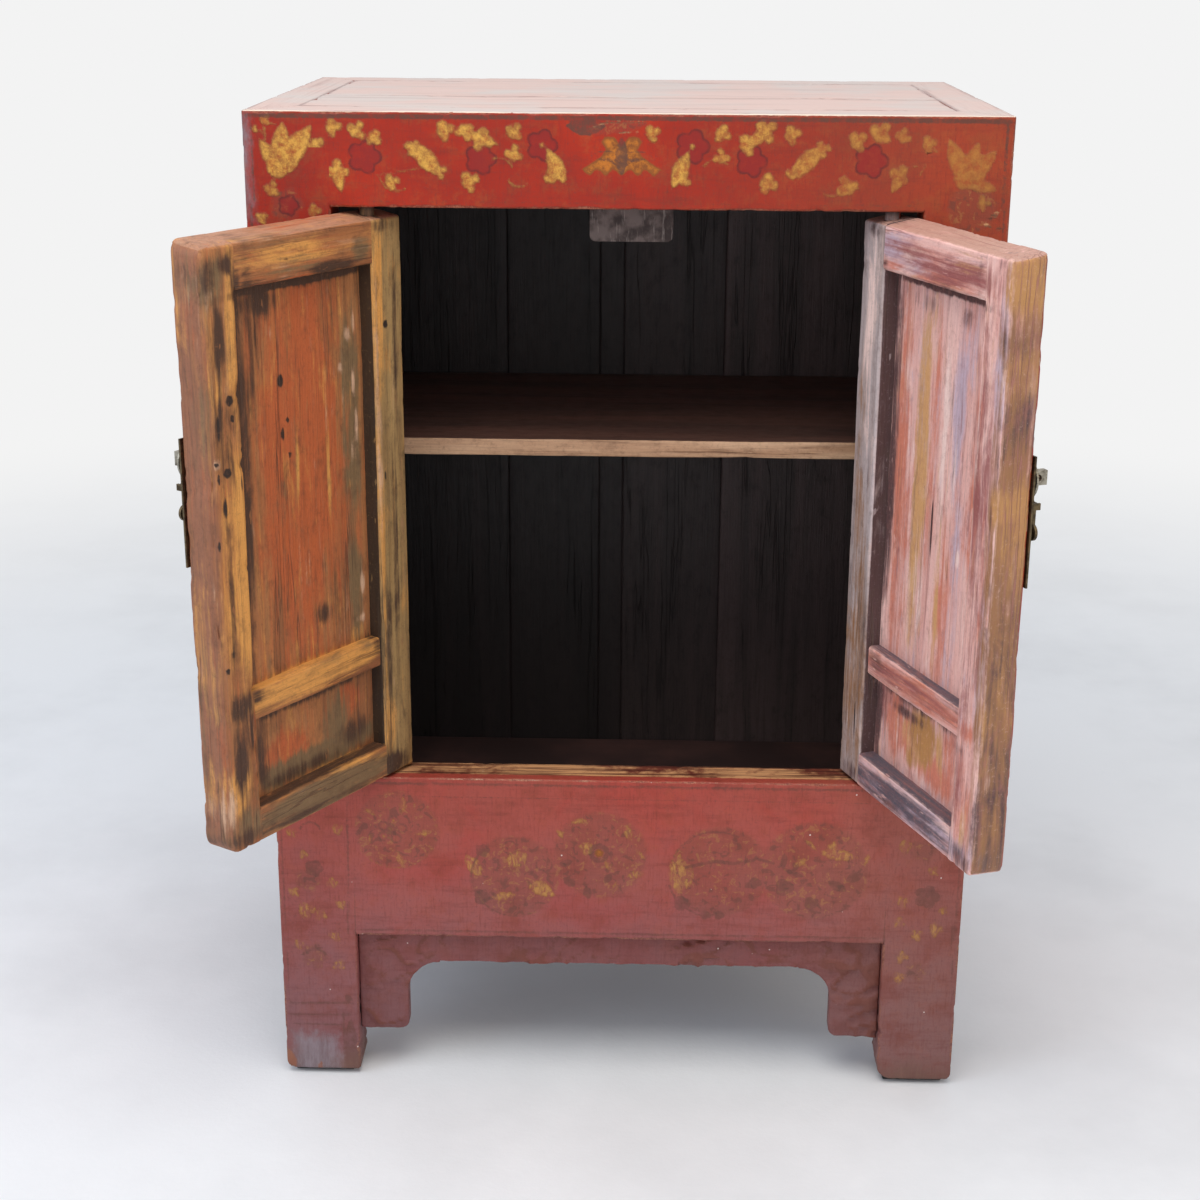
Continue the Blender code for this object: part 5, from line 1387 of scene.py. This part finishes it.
def door_piece(side, name, low, high, along, seed, covered=(), zones=()):
    """A board of a door, made in the door's own frame and then set in place on its pivot."""
    door = doors[side]
    chip = door["bite"] if name == "free_stile" else DOOR_CHIP
    bm, local, edge = worn_board(low, high, DOOR_CELL, DOOR_ARRIS, DOOR_RIPPLE, chip, seed, covered)
    if name == "hinge_stile":
        round_corner(bm, (0, 1), (low[0], OUTER), (1.0, 1.0), HINGE_ROUND)
        round_corner(bm, (0, 1), (low[0], INNER), (1.0, -1.0), DOOR_ROUND)
        for foot, head in ((PIVOT_FOOT, DOOR_FOOT + PIVOT_FOOT_ROOT),
                           (DOOR_TOP - PIVOT_HEAD_ROOT, PIVOT_HEAD)):
            bmesh.ops.create_cone(
                bm, cap_ends=True, segments=24, radius1=PIVOT_RADIUS, radius2=PIVOT_RADIUS,
                depth=head - foot, matrix=Matrix.Translation((0.0, 0.0, 0.5 * (foot + head))))
        local = points_of(bm)
        edge = np.append(edge, np.full(len(local) - len(edge), 9.0))
        stile_foot = DOOR_FOOT + END_MARGIN
        stile_head = DOOR_TOP - TOP_FALL - END_MARGIN
        # The pivot pins are painted in the near-black knot colour: painted shade.
        zones = [*zones, ("knot", 1.0, lambda spot: math.hypot(spot[0], spot[1]) < 1.05 * PIVOT_RADIUS
                          and not stile_foot < spot[2] < stile_head)]
    if name == "free_stile":
        round_corner(bm, (0, 1), (high[0], INNER), (-1.0, -1.0), FREE_ROUND)
        round_corner(bm, (0, 1), (high[0], OUTER), (-1.0, 1.0), DOOR_ROUND)
        head_round, foot_round = door["corners"]
        round_corner(bm, (0, 2), (high[0], DOOR_TOP), (-1.0, -1.0), head_round)
        round_corner(bm, (0, 2), (high[0], DOOR_FOOT), (-1.0, 1.0), foot_round)
        for vert in bm.verts:
            near = max(0.0, 1.0 - (high[0] - vert.co.x) / WORN_BAND)
            nick = max(0.0, noise.noise((seed, 55.0 * vert.co.z, 30.0 * vert.co.y)) - 0.1)
            wave = 0.5 + 0.5 * noise.noise((seed, 9.0 * vert.co.z, 0.0))
            vert.co.x -= near * (WORN_HOLLOW * wave + 0.7 * door["bite"] * nick)
    bm.normal_update()
    for face in bm.faces:
        face.material_index = 1 if face.normal.y < -FACES_THAT_WAY else 0
    if high[2] > DOOR_TOP - END_MARGIN:
        for vert in bm.verts:
            fall = TOP_FALL * (vert.co.y - OUTER) / (INNER - OUTER)
            part = (min(vert.co.z, DOOR_TOP) - (DOOR_TOP - TOP_RAIL)) / TOP_RAIL
            if vert.co.z < DOOR_TOP + END_MARGIN:
                vert.co.z -= fall * max(0.0, part)
    pivot = Vector(joints[f"{side}_door_hinge"]["pos_m"])
    pivot.z = 0.0
    swing = math.radians(door["stands_at"])
    to_free = (door["turn"] * math.cos(swing), -math.sin(swing), 0.0)
    inward = (-door["turn"] * math.sin(swing), -math.cos(swing), 0.0)
    axes = Matrix((to_free, inward, (0.0, 0.0, 1.0))).transposed().to_4x4()
    bmesh.ops.transform(bm, matrix=Matrix.Translation(pivot) @ axes, verts=bm.verts)
    if side == "right":
        bmesh.ops.reverse_faces(bm, faces=bm.faces)
    node = f"{side}_door_{name}"
    stile = name == "hinge_stile"
    piece = set_up(bm, node + "_aged", [door["finish_stile" if stile else "finish"], painted_lacquer],
                   f"{side}_door", "bare_stile_wood" if stile else door["slot"], node)
    order = (0, 1, 2) if along == "x" else (2, 0, 1)
    note(piece, "grain", local[:, order] + GRAIN_STEP * seed)
    note(piece, "edge", edge)
    fields = marks_on(local, door["stile_marks" if stile else "marks"])
    for channel, strength, test in zones:
        spots = np.array([strength if test(spot) else 0.0 for spot in local])
        fields[channel] = np.maximum(fields.get(channel, 0.0), spots)
    for channel, field in fields.items():
        note(piece, channel, field)
    front = local[:, 1] < (OUTER + FRONT_SKIN if "panel" not in name else low[1] + PANEL_SKIN)
    paint(piece, 1000.0 * local[:, 0], 1000.0 * local[:, 2], front, door_strokes)


for side, door in doors.items():
    door["finish"] = old_wood(door["slot"] + "_inside", *door["wood"], 0.42, door["stains"])
    door["finish_stile"] = old_wood(side + "_bare_stile_wood", *door["stile"], 0.48,
                                    {name: door["stains"][name] for name in door["stile_stains"]})
    start = door["start"]
    stop = door["stop"]
    bay_start = start + STILE
    bay_stop = stop - STILE
    seed = door["seed"]
    rails = {
        "top_rail": (DOOR_TOP - TOP_RAIL, DOOR_TOP, INNER),
        "middle_rail": (MIDDLE_RAIL_AT - 0.5 * MIDDLE_RAIL, MIDDLE_RAIL_AT + 0.5 * MIDDLE_RAIL,
                        INNER - MIDDLE_RAIL_BACK),
        "bottom_rail": (DOOR_FOOT, DOOR_FOOT + BOTTOM_RAIL, INNER),
    }
    flush = [(rails["top_rail"][0], DOOR_TOP + END_MARGIN),
             (DOOR_FOOT - END_MARGIN, rails["bottom_rail"][1])]
    top_face = ("cap", 1.0, lambda spot: spot[2] > DOOR_TOP - TOP_SKIN)
    # The side face of the hinge stile beside the panels, down in the recess, is painted dark as painted
    # shade.
    reveal_shade = (*door["reveal_shade"], lambda spot, at=bay_start: (
        abs(spot[0] - at) < SIDE_SKIN and spot[1] < INNER - REVEAL_SHADE_STARTS))
    rim = ("rim", 1.0, lambda spot, at=stop: spot[0] > at - SIDE_SKIN)
    door_piece(side, "hinge_stile", (start, OUTER, DOOR_FOOT), (bay_start, INNER, DOOR_TOP), "z", seed,
               [("+x", *zone) for zone in flush], [top_face, reveal_shade])
    door_piece(side, "free_stile", (bay_stop, OUTER, DOOR_FOOT), (stop, INNER, DOOR_TOP), "z", seed + 1,
               [("-x", *zone) for zone in flush], [top_face, rim])
    for count, (name, (foot, head, face)) in enumerate(rails.items()):
        channel, strength = door["ledges"].get(name, ("dark", 0.0))
        ledge = (channel, strength, lambda spot, at=head: spot[2] > at - TOP_SKIN)
        zones = [top_face if name == "top_rail" else ledge]
        door_piece(side, name, (bay_start, OUTER, foot), (bay_stop, face, head), "x", seed + 2 + count,
                   [("-x", *EVERYWHERE), ("+x", *EVERYWHERE)], zones)
    panels = {"upper_panel": (rails["middle_rail"][1], rails["top_rail"][0]),
              "lower_panel": (rails["bottom_rail"][1], rails["middle_rail"][0])}
    for count, (name, (foot, head)) in enumerate(panels.items()):
        face = INNER - PANEL_RECESS
        door_piece(side, name, (bay_start - PANEL_TONGUE, face - PANEL_THICK, foot - PANEL_TONGUE),
                   (bay_stop + PANEL_TONGUE, face, head + PANEL_TONGUE), "z", seed + 6 + count)

# Lock furniture: a brass plate nailed to each door front, with a grey steel lug on a rosette for
# the lock and a small brass drop pull that swings on a pin. All of it is dull with age.

BRASS = shade(114, 98, 73)
BRASS_DARK = shade(62, 52, 42)
LUG_GREY = shade(168, 162, 148)
LUG_DARK = shade(104, 96, 84)


def old_metal(name, bright, dull):
    """Metal darkened in patches by handling and damp."""
    metal = Finish(name)
    here = metal.here()
    patina = metal.cloud(here, 120.0, 6.0, 0.7)
    metal.dress(
        metal.tint(metal.span(patina, 0.4, 0.65), bright, dull),
        metal.sum(0.3, metal.times(patina, 0.35)), patina, 0.0003)
    metal.shader.inputs["Metallic"].default_value = 0.9
    return metal.material


plate_brass = old_metal("aged_brass_fittings", BRASS, BRASS_DARK)
lug_steel = old_metal("grey_steel_lug", LUG_GREY, LUG_DARK)
for side in ("left", "right"):
    coat_nodes(plate_brass, f"{side}_door_lock_plate", f"{side}_door_pull")
    coat_nodes(lug_steel, f"{side}_door_lock_lug")
